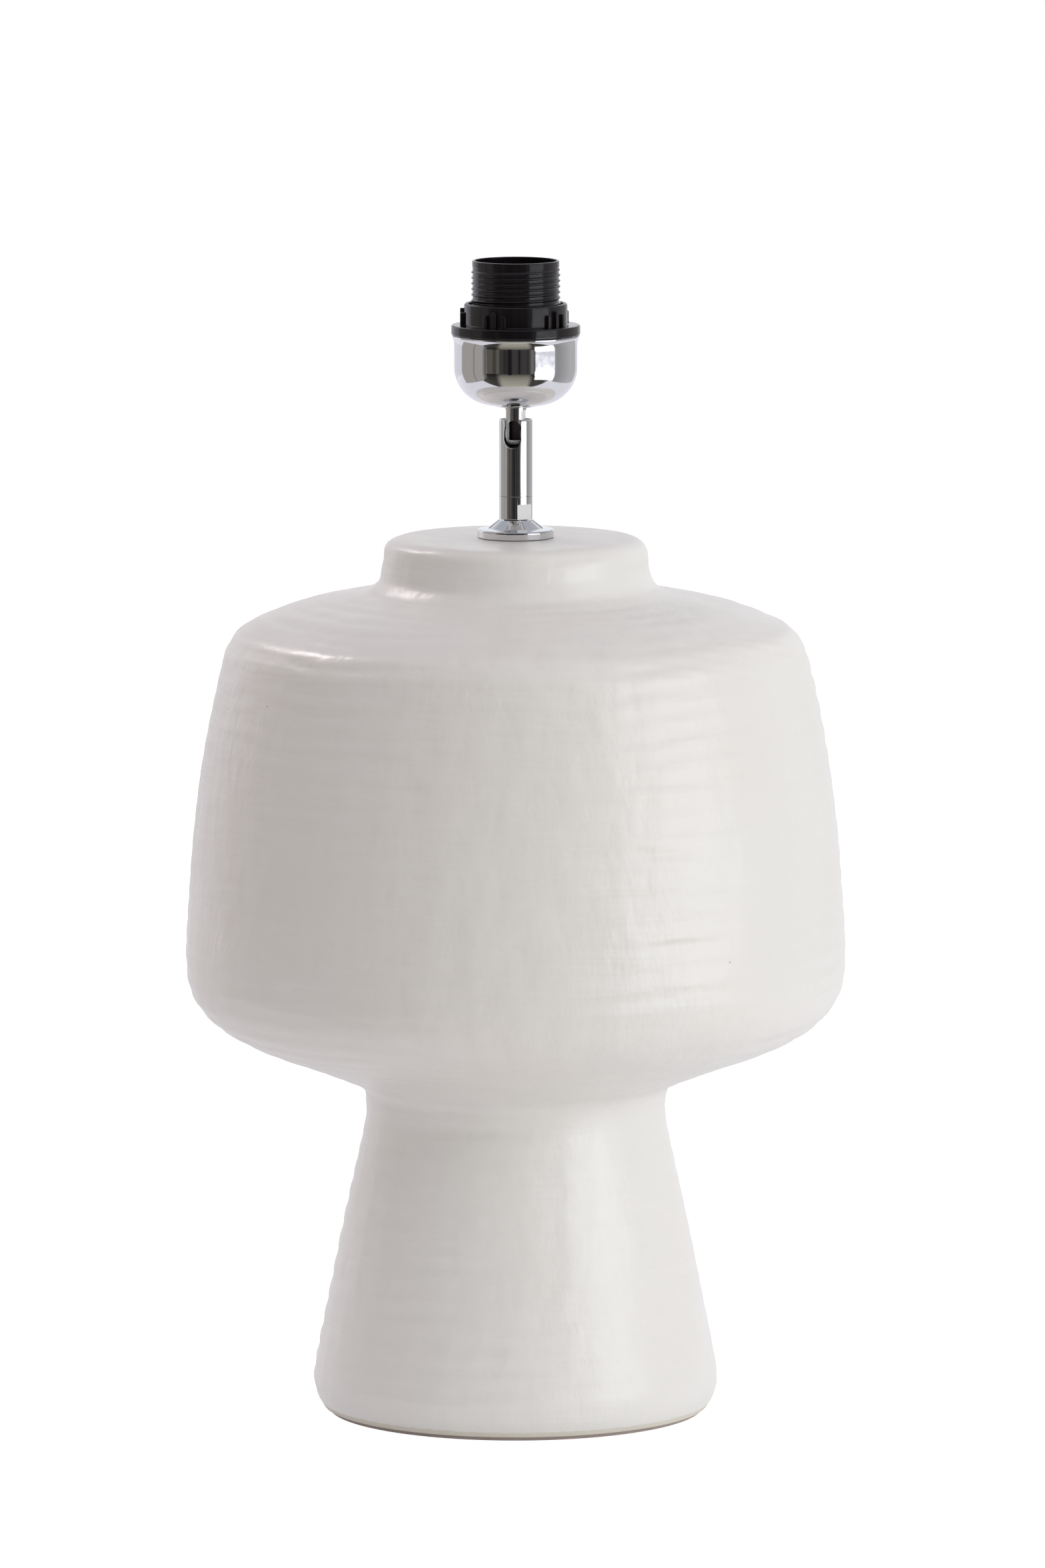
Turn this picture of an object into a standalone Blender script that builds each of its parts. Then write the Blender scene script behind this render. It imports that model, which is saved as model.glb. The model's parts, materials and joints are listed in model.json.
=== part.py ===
# Ceramic table lamp base with a swivel-and-tilt knuckle and a threaded lampholder
# Metres, +Z up, the origin under the middle of the pad, the front towards -Y.

from math import asin, atan2, ceil, cos, hypot, pi, radians, sin, sqrt, tan

import bmesh
import bpy
from mathutils import Matrix, Vector

FULL_TURN = 2 * pi

# Clearances and overruns
SEAT_GAP = 0.0003            # between pieces that rest on each other
RUNNING_GAP = 0.0003         # between a piece that turns or slides and its guide
OVERRUN = 0.002              # how far a cutter runs past what it cuts

# Facets
BODY_SIDES = 40
CUP_SIDES = 32
RING_SIDES = 36
KNUCKLE_SIDES = 24
WASHER_SIDES = 20
SMALL_SIDES = 16
OUTLINE_STEP = 0.032         # longest straight run on the body's outer outline
INNER_STATION_STEPS = 2      # the plain inner wall takes every second station
MERGE_DISTANCE = 0.000001
SHARP_ANGLE = radians(32)

# Ceramic body. Each rise is the height from the end of the stretch below.
FOOT_UNDER_RADIUS = 0.0860
FOOT_RADIUS = 0.0902
FOOT_EDGE_RISE = 0.0125
FOOT_RING_WIDTH = 0.0095
WAIST_RADIUS = 0.0668
CONE_RISE = 0.1245
BELLY_RADIUS = 0.1472
UNDERSIDE_RISE = 0.0680
SHOULDER_RADIUS = 0.1272
SIDE_RISE = 0.1386
NECK_BASE_RADIUS = 0.0612
SHOULDER_RISE = 0.0274
NECK_FLAT_RADIUS = 0.0480
NECK_RISE = 0.0196
BODY_WALL = 0.0060
NECK_TOP_THICKNESS = 0.0080

# How far each station lies along its stretch, as (share of radius, share of height)
FOOT_EDGE_SHARES = ((0.0, 0.0), (0.33, 0.16), (0.76, 0.48), (1.0, 1.0))
CONE_SHARES = (
    (0.051, 0.076), (0.239, 0.261), (0.521, 0.526), (0.821, 0.791), (0.966, 0.92), (1.0, 1.0))
UNDERSIDE_SHARES = (
    (0.030, 0.115), (0.164, 0.197), (0.413, 0.313), (0.637, 0.412),
    (0.811, 0.522), (0.923, 0.647), (0.985, 0.794), (1.0, 1.0))
SIDE_SHARES = ((0.05, 0.144), (0.19, 0.404), (0.43, 0.664), (0.81, 0.924), (1.0, 1.0))
SHOULDER_SHARES = ((0.102, 0.263), (0.397, 0.555), (0.685, 0.715), (0.912, 0.839), (1.0, 1.0))
NECK_SHARES = ((0.167, 0.408), (0.197, 0.673), (0.326, 0.867), (0.636, 0.985), (1.0, 1.0))

# Pad under the foot
PAD_THICKNESS = 0.0015
PAD_INSET = 0.0022           # in from the foot's lower edge

# Cord hole and grommet at the back
CORD_HOLE_HEIGHT = 0.0260    # above the body's bottom
CORD_RADIUS = 0.0034
GROMMET_WALL = 0.0013
GROMMET_LIP = 0.0016         # how far the lips reach past the hole
GROMMET_LIP_THICKNESS = 0.0014

# Hollow threaded nipple and what it clamps
THREAD_RADIUS = 0.0049
NIPPLE_BORE_RADIUS = 0.0035
NIPPLE_TAIL = 0.0040         # thread left showing under the nut
NIPPLE_ENGAGEMENT = 0.0066   # thread inside the swivel's base
RUBBER_WASHER_RADIUS = 0.0160
RUBBER_WASHER_THICKNESS = 0.0020
STEEL_WASHER_RADIUS = 0.0140
STEEL_WASHER_THICKNESS = 0.0015
LOCK_WASHER_RADIUS = 0.0085
LOCK_WASHER_THICKNESS = 0.0012
LOCK_WASHER_SPLIT = radians(12)
NUT_ACROSS_FLATS = 0.0150
NUT_HEIGHT = 0.0045

# Canopy flange on the neck
CANOPY_RADIUS = 0.0170
CANOPY_RIM_HEIGHT = 0.0038
CANOPY_EDGE = 0.0005
CANOPY_CONE_INSET = 0.0024   # from the rim to the foot of the cone
CANOPY_NOSE_MARGIN = 0.0006  # how far the nose stands out past the barrel
CANOPY_HEIGHT = 0.0079
CANOPY_RECESS_DEPTH = 0.0026
CANOPY_RECESS_INSET = 0.0040

# Stem of the tilting head, its ball and the cable's way through it
ROD_RADIUS = 0.0049
ROD_FLAT_WIDTH = 0.0076
BALL_PROUD = 0.0008          # the ball's radius less the rod's
CABLE_BORE_RADIUS = 0.0030
COLLAR_LENGTH = 0.0011
COLLAR_CLEARANCE = 0.0010    # from the barrel's top corner, as the stem tilts
STEM_THREAD_LENGTH = 0.0128
STEM_CHAMFER = 0.0005
WINDOW_WIDTH_SHARE = 0.97    # of the cable bore's diameter
WINDOW_SILL_DROP = 0.0024    # below the ball's centre
WINDOW_TOP_RISE = 0.0002     # above the barrel's top

# Turning barrel with its slot
BARREL_WALL = 0.0015
BARREL_CAP = 0.0008          # metal left above the ball
BARREL_LENGTH = 0.0339
BARREL_EDGE = 0.0004
SLOT_CLEARANCE = 0.0004      # each side of the rod's flats
OPENING_CLEARANCE = 0.0003   # around the rod at the barrel's top
SLOT_FOOT_CLEARANCE = 0.0009 # under the rod when it lies level
SLOT_TURN = radians(-14)     # from the front, positive to the right

# Fixed base of the swivel, its spigot, ring and pin
BASE_LENGTH = 0.0102
BASE_FLAT_DEPTH = 0.0010
BASE_FLAT_HEIGHT = 0.0071
BASE_FLAT_MARGIN = 0.0026    # from the flats' upper end to the seam
BASE_FLAT_TURN = radians(36)
RETAINER_RISE = 0.0100       # above the seam
RETAINER_THICKNESS = 0.0010
RETAINER_BITE = 0.0005       # into each of the two grooves
RETAINER_SPLIT = radians(40)
PIN_RISE = 0.0040
PIN_RADIUS = 0.00075
PIN_BITE = 0.0005            # into the barrel's groove
SWIVEL_LIMIT = radians(165)
STOP_MARGIN = radians(1)

# Ball seat and spring washer
BALL_SEAT_DROP = 0.0080      # the seat's lower face below the ball's centre
WAVE_THICKNESS = 0.0005
WAVE_HEIGHT = 0.0003
WAVE_COUNT = 3
WAVE_INSET = 0.0002

# Chrome cup and what clamps it
CUP_RADIUS = 0.0274
CUP_HEIGHT = 0.0318
CUP_SHEET = 0.0009
CUP_BOSS_RADIUS = 0.0092
CUP_BOSS_DEPTH = 0.0006
CUP_BOSS_EDGE = 0.0008
CUP_BOWL_HEIGHT = 0.0175     # from the cup's bottom to where the wall is upright
CUP_BOWL_STEPS = 5
CUP_FLARE = 0.0010           # how far the mouth stands out past the wall
CUP_FLARE_HEIGHT = 0.0039
CUP_FLARE_STEPS = 2
CUP_LIP_HEIGHT = 0.0006      # the upright edge above the flare
CUP_WASHER_RADIUS = 0.0085
CUP_WASHER_THICKNESS = 0.0010
CUP_NUT_HEIGHT = 0.0035

# Lampholder: cap, contact block and skirt, heights above the cup's mouth unless said
SKIRT_RADIUS = 0.0199
SKIRT_WALL = 0.0017
SKIRT_RISE = 0.0332
SKIRT_SEAT_RISE = 0.0012
SKIRT_BAND_RADIUS = 0.0194   # plain band above the thread
SKIRT_BAND_HEIGHT = 0.0030
SKIRT_RIM_EDGE = 0.0004
SOCKET_RADIUS = 0.0134       # inside the lamp's thread
SOCKET_WALL = 0.0018
SOCKET_MOUTH_DROP = 0.0125   # from the rim down to the socket's web
SOCKET_WEB = 0.0020
BLOCK_TOP_RISE = 0.0030
BLOCK_HEIGHT = 0.0075
CAP_WALL = 0.0017
CAP_SPIGOT_HEIGHT = 0.0120   # the cap's thread inside the skirt
CAP_LEDGE = 0.0018
CAP_BUSH_RADIUS = 0.0080
CAP_BUSH_HEIGHT = 0.0045
CAP_FLARE_HEIGHT = 0.0055
CAP_FLOOR = 0.0022
LOCK_SCREW_RADIUS = 0.0014
LOCK_SCREW_PROUD = 0.0006

# Contacts, rivets and terminals
CONTACT_SHEET = 0.0004
CONTACT_WIDTH = 0.0050
CONTACT_ROOT = 0.0070        # from the axis to the leaf's rivet
CONTACT_ROOT_LENGTH = 0.0036
CONTACT_TIP_REACH = 0.0020   # past the axis
CONTACT_TIP_RISE = 0.0024
CONTACT_SIDE_INSET = 0.0008  # the side strip from the socket's wall
CONTACT_SIDE_RISE = 0.0100
RIVET_RADIUS = 0.0008
RIVET_HEAD_RADIUS = 0.0014
RIVET_HEAD_HEIGHT = 0.0006
RIVET_LENGTH = 0.0030        # shank in the block
POST_OFFSET = 0.0085
POST_RADIUS = 0.0024
POST_LENGTH = 0.0052
TERMINAL_SCREW_RADIUS = 0.0010
TERMINAL_SCREW_PROUD = 0.0012

# Shade ring
SHADE_RING_OVERHANG = 0.0003 # past the cup's lip
SHADE_RING_THICKNESS = 0.0045
SHADE_COLLAR_WALL = 0.0018
SHADE_COLLAR_HEIGHT = 0.0094
SHADE_THREAD_HEIGHT = 0.0055
SHADE_RELIEF = 0.0010        # the collar's bore past the thread's
SHADE_EDGE = 0.0006
RIB_GROUPS = 5
RIB_GROUP_TURN = radians(-23.5)
RIB_SPACING = radians(10.7)
RIB_WIDTH = 0.0018
RIB_PROUD = 0.0018
RIB_HEIGHTS = (0.0055, 0.0071, 0.0055)
RIB_ARCH_STEPS = 4

# Sizes that follow from the ones above
WAIST_HEIGHT = FOOT_EDGE_RISE + CONE_RISE
BELLY_HEIGHT = WAIST_HEIGHT + UNDERSIDE_RISE
SHOULDER_HEIGHT = BELLY_HEIGHT + SIDE_RISE
NECK_BASE_HEIGHT = SHOULDER_HEIGHT + SHOULDER_RISE
BODY_HEIGHT = NECK_BASE_HEIGHT + NECK_RISE

BALL_RADIUS = ROD_RADIUS + BALL_PROUD
BALL_BORE_RADIUS = BALL_RADIUS + RUNNING_GAP
BARREL_RADIUS = BALL_BORE_RADIUS + BARREL_WALL
BALL_DEPTH = BALL_BORE_RADIUS + BARREL_CAP
SPIGOT_RADIUS = BALL_BORE_RADIUS - RUNNING_GAP
ROD_FLAT_LENGTH = hypot(BARREL_RADIUS, BALL_DEPTH) + COLLAR_CLEARANCE
COLLAR_TOP = ROD_FLAT_LENGTH + COLLAR_LENGTH
THREAD_HOLE_RADIUS = THREAD_RADIUS + SEAT_GAP

BODY_BOTTOM = PAD_THICKNESS + SEAT_GAP
BODY_TOP = BODY_BOTTOM + BODY_HEIGHT
CANOPY_BOTTOM = BODY_TOP + SEAT_GAP
BASE_BOTTOM = CANOPY_BOTTOM + CANOPY_HEIGHT + SEAT_GAP
SEAM = BASE_BOTTOM + BASE_LENGTH
BARREL_BOTTOM = SEAM + RUNNING_GAP
BARREL_TOP = BARREL_BOTTOM + BARREL_LENGTH
BALL_CENTRE = BARREL_TOP - BALL_DEPTH

# Heights above the ball's centre
CUP_BOTTOM = COLLAR_TOP + SEAT_GAP
CUP_TOP = CUP_BOTTOM + CUP_HEIGHT
CUP_FLOOR = CUP_BOTTOM + CUP_SHEET
CUP_WASHER_BOTTOM = CUP_FLOOR + SEAT_GAP
CUP_NUT_BOTTOM = CUP_WASHER_BOTTOM + CUP_WASHER_THICKNESS + SEAT_GAP
CAP_BOTTOM = CUP_NUT_BOTTOM + CUP_NUT_HEIGHT + SEAT_GAP
STEM_TOP = COLLAR_TOP + STEM_THREAD_LENGTH
SKIRT_TOP = CUP_TOP + SKIRT_RISE
SKIRT_BOTTOM = CUP_TOP + SKIRT_SEAT_RISE
SKIRT_BORE_RADIUS = SKIRT_RADIUS - SKIRT_WALL
BLOCK_TOP = CUP_TOP + BLOCK_TOP_RISE
BLOCK_BOTTOM = BLOCK_TOP - BLOCK_HEIGHT
BLOCK_RADIUS = SKIRT_BORE_RADIUS - SEAT_GAP - CAP_WALL - SEAT_GAP
SHADE_RING_BOTTOM = CUP_TOP + SEAT_GAP
SHADE_RING_RADIUS = CUP_RADIUS + CUP_FLARE + SHADE_RING_OVERHANG
SHADE_BORE_RADIUS = SKIRT_RADIUS + RUNNING_GAP
SHADE_COLLAR_RADIUS = SHADE_BORE_RADIUS + SHADE_RELIEF + SHADE_COLLAR_WALL


def clear_scene():
    for old in list(bpy.data.objects):
        bpy.data.objects.remove(old, do_unlink=True)


def finish(name, colour, roughness, metallic=0.0):
    """A Principled material of one colour."""
    material = bpy.data.materials.new(name)
    material.use_nodes = True
    shader = material.node_tree.nodes["Principled BSDF"]
    shader.inputs["Base Color"].default_value = (*colour, 1.0)
    shader.inputs["Roughness"].default_value = roughness
    shader.inputs["Metallic"].default_value = metallic
    material.diffuse_color = (*colour, 1.0)
    return material


# Outlines, as lists of (radius, height)

def arc(radius_centre, height_centre, radius, start, end, steps, height_radius=None):
    """Points on a circle or, with height_radius, on an ellipse."""
    rise = radius if height_radius is None else height_radius
    points = []
    for step in range(steps + 1):
        angle = start + (end - start) * step / steps
        points.append((radius_centre + radius * cos(angle), height_centre + rise * sin(angle)))
    return points


def stretch(start, end, shares):
    """Stations between two points, placed by their shares of the way."""
    (r0, z0), (r1, z1) = start, end
    return [(r0 + (r1 - r0) * across, z0 + (z1 - z0) * up) for across, up in shares]


def smooth_curve(stations, longest):
    """A Catmull-Rom curve through the stations, in runs no longer than the one given."""
    points = []
    last = len(stations) - 1
    for i in range(last):
        before = Vector(stations[max(i - 1, 0)])
        start = Vector(stations[i])
        end = Vector(stations[i + 1])
        after = Vector(stations[min(i + 2, last)])
        steps = ceil((end - start).length / longest)
        for step in range(steps):
            t = step / steps
            point = (
                start * 2 + (end - before) * t
                + (before * 2 - start * 5 + end * 4 - after) * t ** 2
                + (start * 3 - before - end * 3 + after) * t ** 3) / 2
            points.append(tuple(point))
    points.append(stations[-1])
    return points


def moved_inwards(stations, distance):
    """The stations moved square to the curve, to the side where the axis is."""
    moved = []
    last = len(stations) - 1
    for i, (r, z) in enumerate(stations):
        before = Vector(stations[max(i - 1, 0)])
        after = Vector(stations[min(i + 1, last)])
        along = (after - before).normalized()
        moved.append((r - along.y * distance, z + along.x * distance))
    return moved


# Solids

def turned(outline, sides, turn=FULL_TURN):
    """A solid of revolution about Z. An outline off the axis is a closed loop."""
    bm = bmesh.new()
    on_axis = outline[0][0] == 0 and outline[-1][0] == 0
    verts = [bm.verts.new((r, 0, z)) for r, z in outline]
    pairs = list(zip(verts, verts[1:]))
    if not on_axis:
        pairs.append((verts[-1], verts[0]))
    edges = [bm.edges.new(pair) for pair in pairs]
    whole = turn == FULL_TURN
    bmesh.ops.spin(
        bm, geom=verts + edges, cent=(0, 0, 0), axis=(0, 0, 1), dvec=(0, 0, 0),
        angle=turn, steps=sides, use_merge=whole)
    bmesh.ops.remove_doubles(bm, verts=bm.verts, dist=MERGE_DISTANCE)
    if not whole:
        bmesh.ops.holes_fill(bm, edges=[edge for edge in bm.edges if edge.is_boundary])
    bmesh.ops.recalc_face_normals(bm, faces=bm.faces)
    return bm


def cylinder(radius, low, high, sides=SMALL_SIDES):
    return turned([(0, low), (radius, low), (radius, high), (0, high)], sides)


def tube(inner, outer, low, high, sides=SMALL_SIDES):
    return turned([(inner, low), (outer, low), (outer, high), (inner, high)], sides)


def extruded(points, along):
    """A flat outline of points in space, drawn out along a vector."""
    bm = bmesh.new()
    face = bm.faces.new([bm.verts.new(point) for point in points])
    drawn = bmesh.ops.extrude_face_region(bm, geom=[face])
    top = [item for item in drawn["geom"] if isinstance(item, bmesh.types.BMVert)]
    bmesh.ops.translate(bm, vec=along, verts=top)
    bmesh.ops.recalc_face_normals(bm, faces=bm.faces)
    return bm


def box(low, high):
    (x0, y0, z0), (x1, y1, z1) = low, high
    return extruded([(x0, y0, z0), (x1, y0, z0), (x1, y1, z0), (x0, y1, z0)], (0, 0, z1 - z0))


def transformed(bm, matrix):
    bmesh.ops.transform(bm, matrix=matrix, verts=bm.verts)
    return bm


def joined(pieces):
    """Separate solids in one mesh."""
    whole = bmesh.new()
    for piece in pieces:
        mesh = bpy.data.meshes.new("piece")
        piece.to_mesh(mesh)
        piece.free()
        whole.from_mesh(mesh)
        bpy.data.meshes.remove(mesh)
    return whole


def make(name, bm, material=None, parent=None, location=(0, 0, 0), turn=0.0):
    mesh = bpy.data.meshes.new(name)
    bm.to_mesh(mesh)
    bm.free()
    mesh.shade_smooth()
    mesh.set_sharp_from_angle(angle=SHARP_ANGLE)
    thing = bpy.data.objects.new(name, mesh)
    bpy.context.scene.collection.objects.link(thing)
    thing.location = location
    thing.rotation_euler = (0, 0, turn)
    thing.parent = parent
    if material is not None:
        mesh.materials.append(material)
    return thing


def pivot(name, location, turn=0.0, parent=None):
    empty = bpy.data.objects.new(name, None)
    bpy.context.scene.collection.objects.link(empty)
    empty.location = location
    empty.rotation_euler = (0, 0, turn)
    empty.parent = parent
    return empty


def boolean(thing, bm, operation="DIFFERENCE"):
    """Cut, or join, the thing with a hidden solid given in the thing's own frame."""
    tool = make(thing.name + "_tool", bm, parent=thing)
    tool.hide_render = True
    tool.display_type = "WIRE"
    modifier = thing.modifiers.new(operation.lower(), "BOOLEAN")
    modifier.operation = operation
    modifier.solver = "EXACT"
    modifier.object = tool


# Ceramic body, pad and grommet

def body_stations():
    foot_under = (FOOT_UNDER_RADIUS, 0)
    foot = (FOOT_RADIUS, FOOT_EDGE_RISE)
    waist = (WAIST_RADIUS, WAIST_HEIGHT)
    belly = (BELLY_RADIUS, BELLY_HEIGHT)
    shoulder = (SHOULDER_RADIUS, SHOULDER_HEIGHT)
    neck_base = (NECK_BASE_RADIUS, NECK_BASE_HEIGHT)
    neck_top = (NECK_FLAT_RADIUS, BODY_HEIGHT)
    foot_edge = stretch(foot_under, foot, FOOT_EDGE_SHARES)
    wall = (
        stretch(foot, waist, CONE_SHARES)
        + stretch(waist, belly, UNDERSIDE_SHARES)
        + stretch(belly, shoulder, SIDE_SHARES)
        + stretch(shoulder, neck_base, SHOULDER_SHARES))
    neck = stretch(neck_base, neck_top, NECK_SHARES)
    return foot_edge, wall, neck


def body_radius_at(height):
    """The body's outer radius low on the foot, between the two stations next to a height."""
    foot_edge, wall, _ = body_stations()
    stations = foot_edge + wall
    for (r0, z0), (r1, z1) in zip(stations, stations[1:]):
        if z0 <= height <= z1:
            return r0 + (r1 - r0) * (height - z0) / (z1 - z0)
    return FOOT_RADIUS


def make_ceramic_body(material):
    foot_edge, wall, neck = body_stations()
    outer = smooth_curve(foot_edge + wall + neck, OUTLINE_STEP)
    ceiling = BODY_HEIGHT - NECK_TOP_THICKNESS
    inner = moved_inwards([foot_edge[-1]] + wall + neck[:1], BODY_WALL)
    inner = [point for point in inner[:-1:INNER_STATION_STEPS] + inner[-1:] if point[1] < ceiling]
    foot_inner = FOOT_UNDER_RADIUS - FOOT_RING_WIDTH
    outline = (
        outer
        + [(THREAD_HOLE_RADIUS, BODY_HEIGHT), (THREAD_HOLE_RADIUS, ceiling)]
        + [(inner[-1][0], ceiling)]
        + inner[::-1]
        + [(foot_inner, 0)])
    body = make("ceramic_body", turned(outline, BODY_SIDES), material, location=(0, 0, BODY_BOTTOM))
    hole = cylinder(CORD_RADIUS + GROMMET_WALL + SEAT_GAP, 0, FOOT_RADIUS + OVERRUN)
    boolean(body, transformed(hole, cord_frame()))


def cord_frame():
    """Turns a piece drawn about Z to lie along +Y, at the cord hole, in the body's frame."""
    return Matrix.Translation((0, 0, CORD_HOLE_HEIGHT)) @ Matrix.Rotation(-pi / 2, 4, "X")


def make_base_pad(material):
    make("base_pad", cylinder(FOOT_UNDER_RADIUS - PAD_INSET, 0, PAD_THICKNESS, BODY_SIDES), material)


def make_cord_grommet(material):
    sleeve = CORD_RADIUS + GROMMET_WALL
    lip = sleeve + GROMMET_LIP
    outside = body_radius_at(CORD_HOLE_HEIGHT - lip) + SEAT_GAP
    across = sqrt((FOOT_RADIUS - BODY_WALL) ** 2 - lip ** 2)
    inside = min(across, body_radius_at(CORD_HOLE_HEIGHT + lip) - BODY_WALL - SEAT_GAP)
    inside -= lip ** 2 / FOOT_RADIUS
    outline = [
        (CORD_RADIUS, inside - GROMMET_LIP_THICKNESS), (lip, inside - GROMMET_LIP_THICKNESS),
        (lip, inside), (sleeve, inside), (sleeve, outside), (lip, outside),
        (lip, outside + GROMMET_LIP_THICKNESS / 2), (sleeve, outside + GROMMET_LIP_THICKNESS),
        (CORD_RADIUS, outside + GROMMET_LIP_THICKNESS)]
    grommet = transformed(turned(outline, SMALL_SIDES), cord_frame())
    make("cord_grommet", grommet, material, location=(0, 0, BODY_BOTTOM))


# Nipple, its clamping pieces and the canopy

def make_nipple_stack(steel, rubber):
    top = BASE_BOTTOM + NIPPLE_ENGAGEMENT
    ceiling = BODY_TOP - NECK_TOP_THICKNESS
    rubber_bottom = ceiling - SEAT_GAP - RUBBER_WASHER_THICKNESS
    steel_bottom = rubber_bottom - SEAT_GAP - STEEL_WASHER_THICKNESS
    lock_bottom = steel_bottom - SEAT_GAP - LOCK_WASHER_THICKNESS
    nut_bottom = lock_bottom - SEAT_GAP - NUT_HEIGHT
    bottom = nut_bottom - NIPPLE_TAIL
    make("threaded_nipple", tube(NIPPLE_BORE_RADIUS, THREAD_RADIUS, 0, top - bottom), steel,
         location=(0, 0, bottom))
    make("rubber_washer",
         tube(THREAD_HOLE_RADIUS, RUBBER_WASHER_RADIUS, 0, RUBBER_WASHER_THICKNESS, WASHER_SIDES),
         rubber, location=(0, 0, rubber_bottom))
    make("steel_washer",
         tube(THREAD_HOLE_RADIUS, STEEL_WASHER_RADIUS, 0, STEEL_WASHER_THICKNESS, WASHER_SIDES),
         steel, location=(0, 0, steel_bottom))
    split = [
        (THREAD_HOLE_RADIUS, 0), (LOCK_WASHER_RADIUS, 0),
        (LOCK_WASHER_RADIUS, LOCK_WASHER_THICKNESS), (THREAD_HOLE_RADIUS, LOCK_WASHER_THICKNESS)]
    make("lock_washer", turned(split, SMALL_SIDES, FULL_TURN - LOCK_WASHER_SPLIT), steel,
         location=(0, 0, lock_bottom))
    make_nut("hex_nut", NUT_ACROSS_FLATS, NUT_HEIGHT, steel, location=(0, 0, nut_bottom))


def make_nut(name, across_flats, height, material, **place):
    """A hexagon nut with chamfered corners on both faces."""
    flat = across_flats / 2
    corner = flat / cos(pi / 6)
    chamfer = (corner - flat) * tan(pi / 6)
    cone = turned(
        [(THREAD_HOLE_RADIUS, 0), (flat, 0), (corner, chamfer), (corner, height - chamfer),
         (flat, height), (THREAD_HOLE_RADIUS, height)], WASHER_SIDES)
    nut = make(name, cone, material, **place)
    around = [pi / 6 + step * pi / 3 for step in range(6)]
    hexagon = [(corner * cos(angle), corner * sin(angle), -OVERRUN) for angle in around]
    boolean(nut, extruded(hexagon, (0, 0, height + 2 * OVERRUN)), "INTERSECT")


def make_canopy_flange(material):
    nose = BARREL_RADIUS + CANOPY_NOSE_MARGIN
    cone_foot = CANOPY_RADIUS - CANOPY_CONE_INSET
    recess = CANOPY_RADIUS - CANOPY_RECESS_INSET
    fillet = CANOPY_CONE_INSET - CANOPY_EDGE
    outline = [
        (recess, CANOPY_RECESS_DEPTH), (recess, 0), (CANOPY_RADIUS - CANOPY_EDGE, 0),
        (CANOPY_RADIUS, CANOPY_EDGE), (CANOPY_RADIUS, CANOPY_RIM_HEIGHT - CANOPY_EDGE),
        (CANOPY_RADIUS - CANOPY_EDGE, CANOPY_RIM_HEIGHT), (cone_foot, CANOPY_RIM_HEIGHT),
        (cone_foot - fillet, CANOPY_RIM_HEIGHT + fillet / 2),
        (nose, CANOPY_HEIGHT - CANOPY_EDGE), (nose - CANOPY_EDGE, CANOPY_HEIGHT),
        (THREAD_HOLE_RADIUS, CANOPY_HEIGHT), (THREAD_HOLE_RADIUS, CANOPY_RECESS_DEPTH)]
    make("canopy_flange", turned(outline, CUP_SIDES), material, location=(0, 0, CANOPY_BOTTOM))


# Swivel: fixed base, pin, ring and turning barrel

def seat_stack():
    """Heights of the ball seat, the spring washer and the spigot's top, above the seam."""
    seat_bottom = BALL_CENTRE - BALL_SEAT_DROP - SEAM
    wave_bottom = seat_bottom - SEAT_GAP - WAVE_HEIGHT - WAVE_THICKNESS - WAVE_HEIGHT
    spigot_top = wave_bottom - SEAT_GAP
    return seat_bottom, wave_bottom, spigot_top


def retainer_outline(extra):
    low = RETAINER_RISE - RETAINER_THICKNESS / 2 - extra
    high = RETAINER_RISE + RETAINER_THICKNESS / 2 + extra
    inner = SPIGOT_RADIUS - RETAINER_BITE - extra
    outer = BALL_BORE_RADIUS + RETAINER_BITE + extra
    return inner, outer, low, high


def make_swivel_base(material):
    _, _, spigot_top = seat_stack()
    groove, _, groove_low, groove_high = retainer_outline(RUNNING_GAP)
    socket_top = NIPPLE_ENGAGEMENT + SEAT_GAP - BASE_LENGTH
    outline = [
        (THREAD_HOLE_RADIUS, -BASE_LENGTH), (BARREL_RADIUS - BARREL_EDGE, -BASE_LENGTH),
        (BARREL_RADIUS, BARREL_EDGE - BASE_LENGTH), (BARREL_RADIUS, -BARREL_EDGE),
        (BARREL_RADIUS - BARREL_EDGE, 0), (SPIGOT_RADIUS, 0),
        (SPIGOT_RADIUS, groove_low), (groove, groove_low), (groove, groove_high),
        (SPIGOT_RADIUS, groove_high), (SPIGOT_RADIUS, spigot_top - BARREL_EDGE),
        (SPIGOT_RADIUS - BARREL_EDGE, spigot_top), (CABLE_BORE_RADIUS, spigot_top),
        (CABLE_BORE_RADIUS, socket_top), (THREAD_HOLE_RADIUS, socket_top)]
    base = make("swivel_base", turned(outline, KNUCKLE_SIDES), material, location=(0, 0, SEAM))
    flat = BARREL_RADIUS - BASE_FLAT_DEPTH
    high = -BASE_FLAT_MARGIN
    low = high - BASE_FLAT_HEIGHT
    outside = BARREL_RADIUS + OVERRUN
    flats = [
        box((-outside, -outside, low), (outside, -flat, high)),
        box((-outside, flat, low), (outside, outside, high))]
    boolean(base, transformed(joined(flats), Matrix.Rotation(BASE_FLAT_TURN, 4, "Z")))
    hole = cylinder(PIN_RADIUS + SEAT_GAP, 0, SPIGOT_RADIUS + OVERRUN, SMALL_SIDES // 2)
    boolean(base, transformed(hole, pin_frame()))


def pin_frame():
    """Turns a piece drawn about Z to lie along the slot's direction, at the stop pin."""
    lie = Matrix.Rotation(pi / 2, 4, "X")
    return Matrix.Translation((0, 0, PIN_RISE)) @ Matrix.Rotation(SLOT_TURN, 4, "Z") @ lie


def make_stop_pin(material):
    reach = BALL_BORE_RADIUS + PIN_BITE
    pin = cylinder(PIN_RADIUS, CABLE_BORE_RADIUS + SEAT_GAP, reach, SMALL_SIDES // 2)
    make("stop_pin", transformed(pin, pin_frame()), material, location=(0, 0, SEAM))


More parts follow.
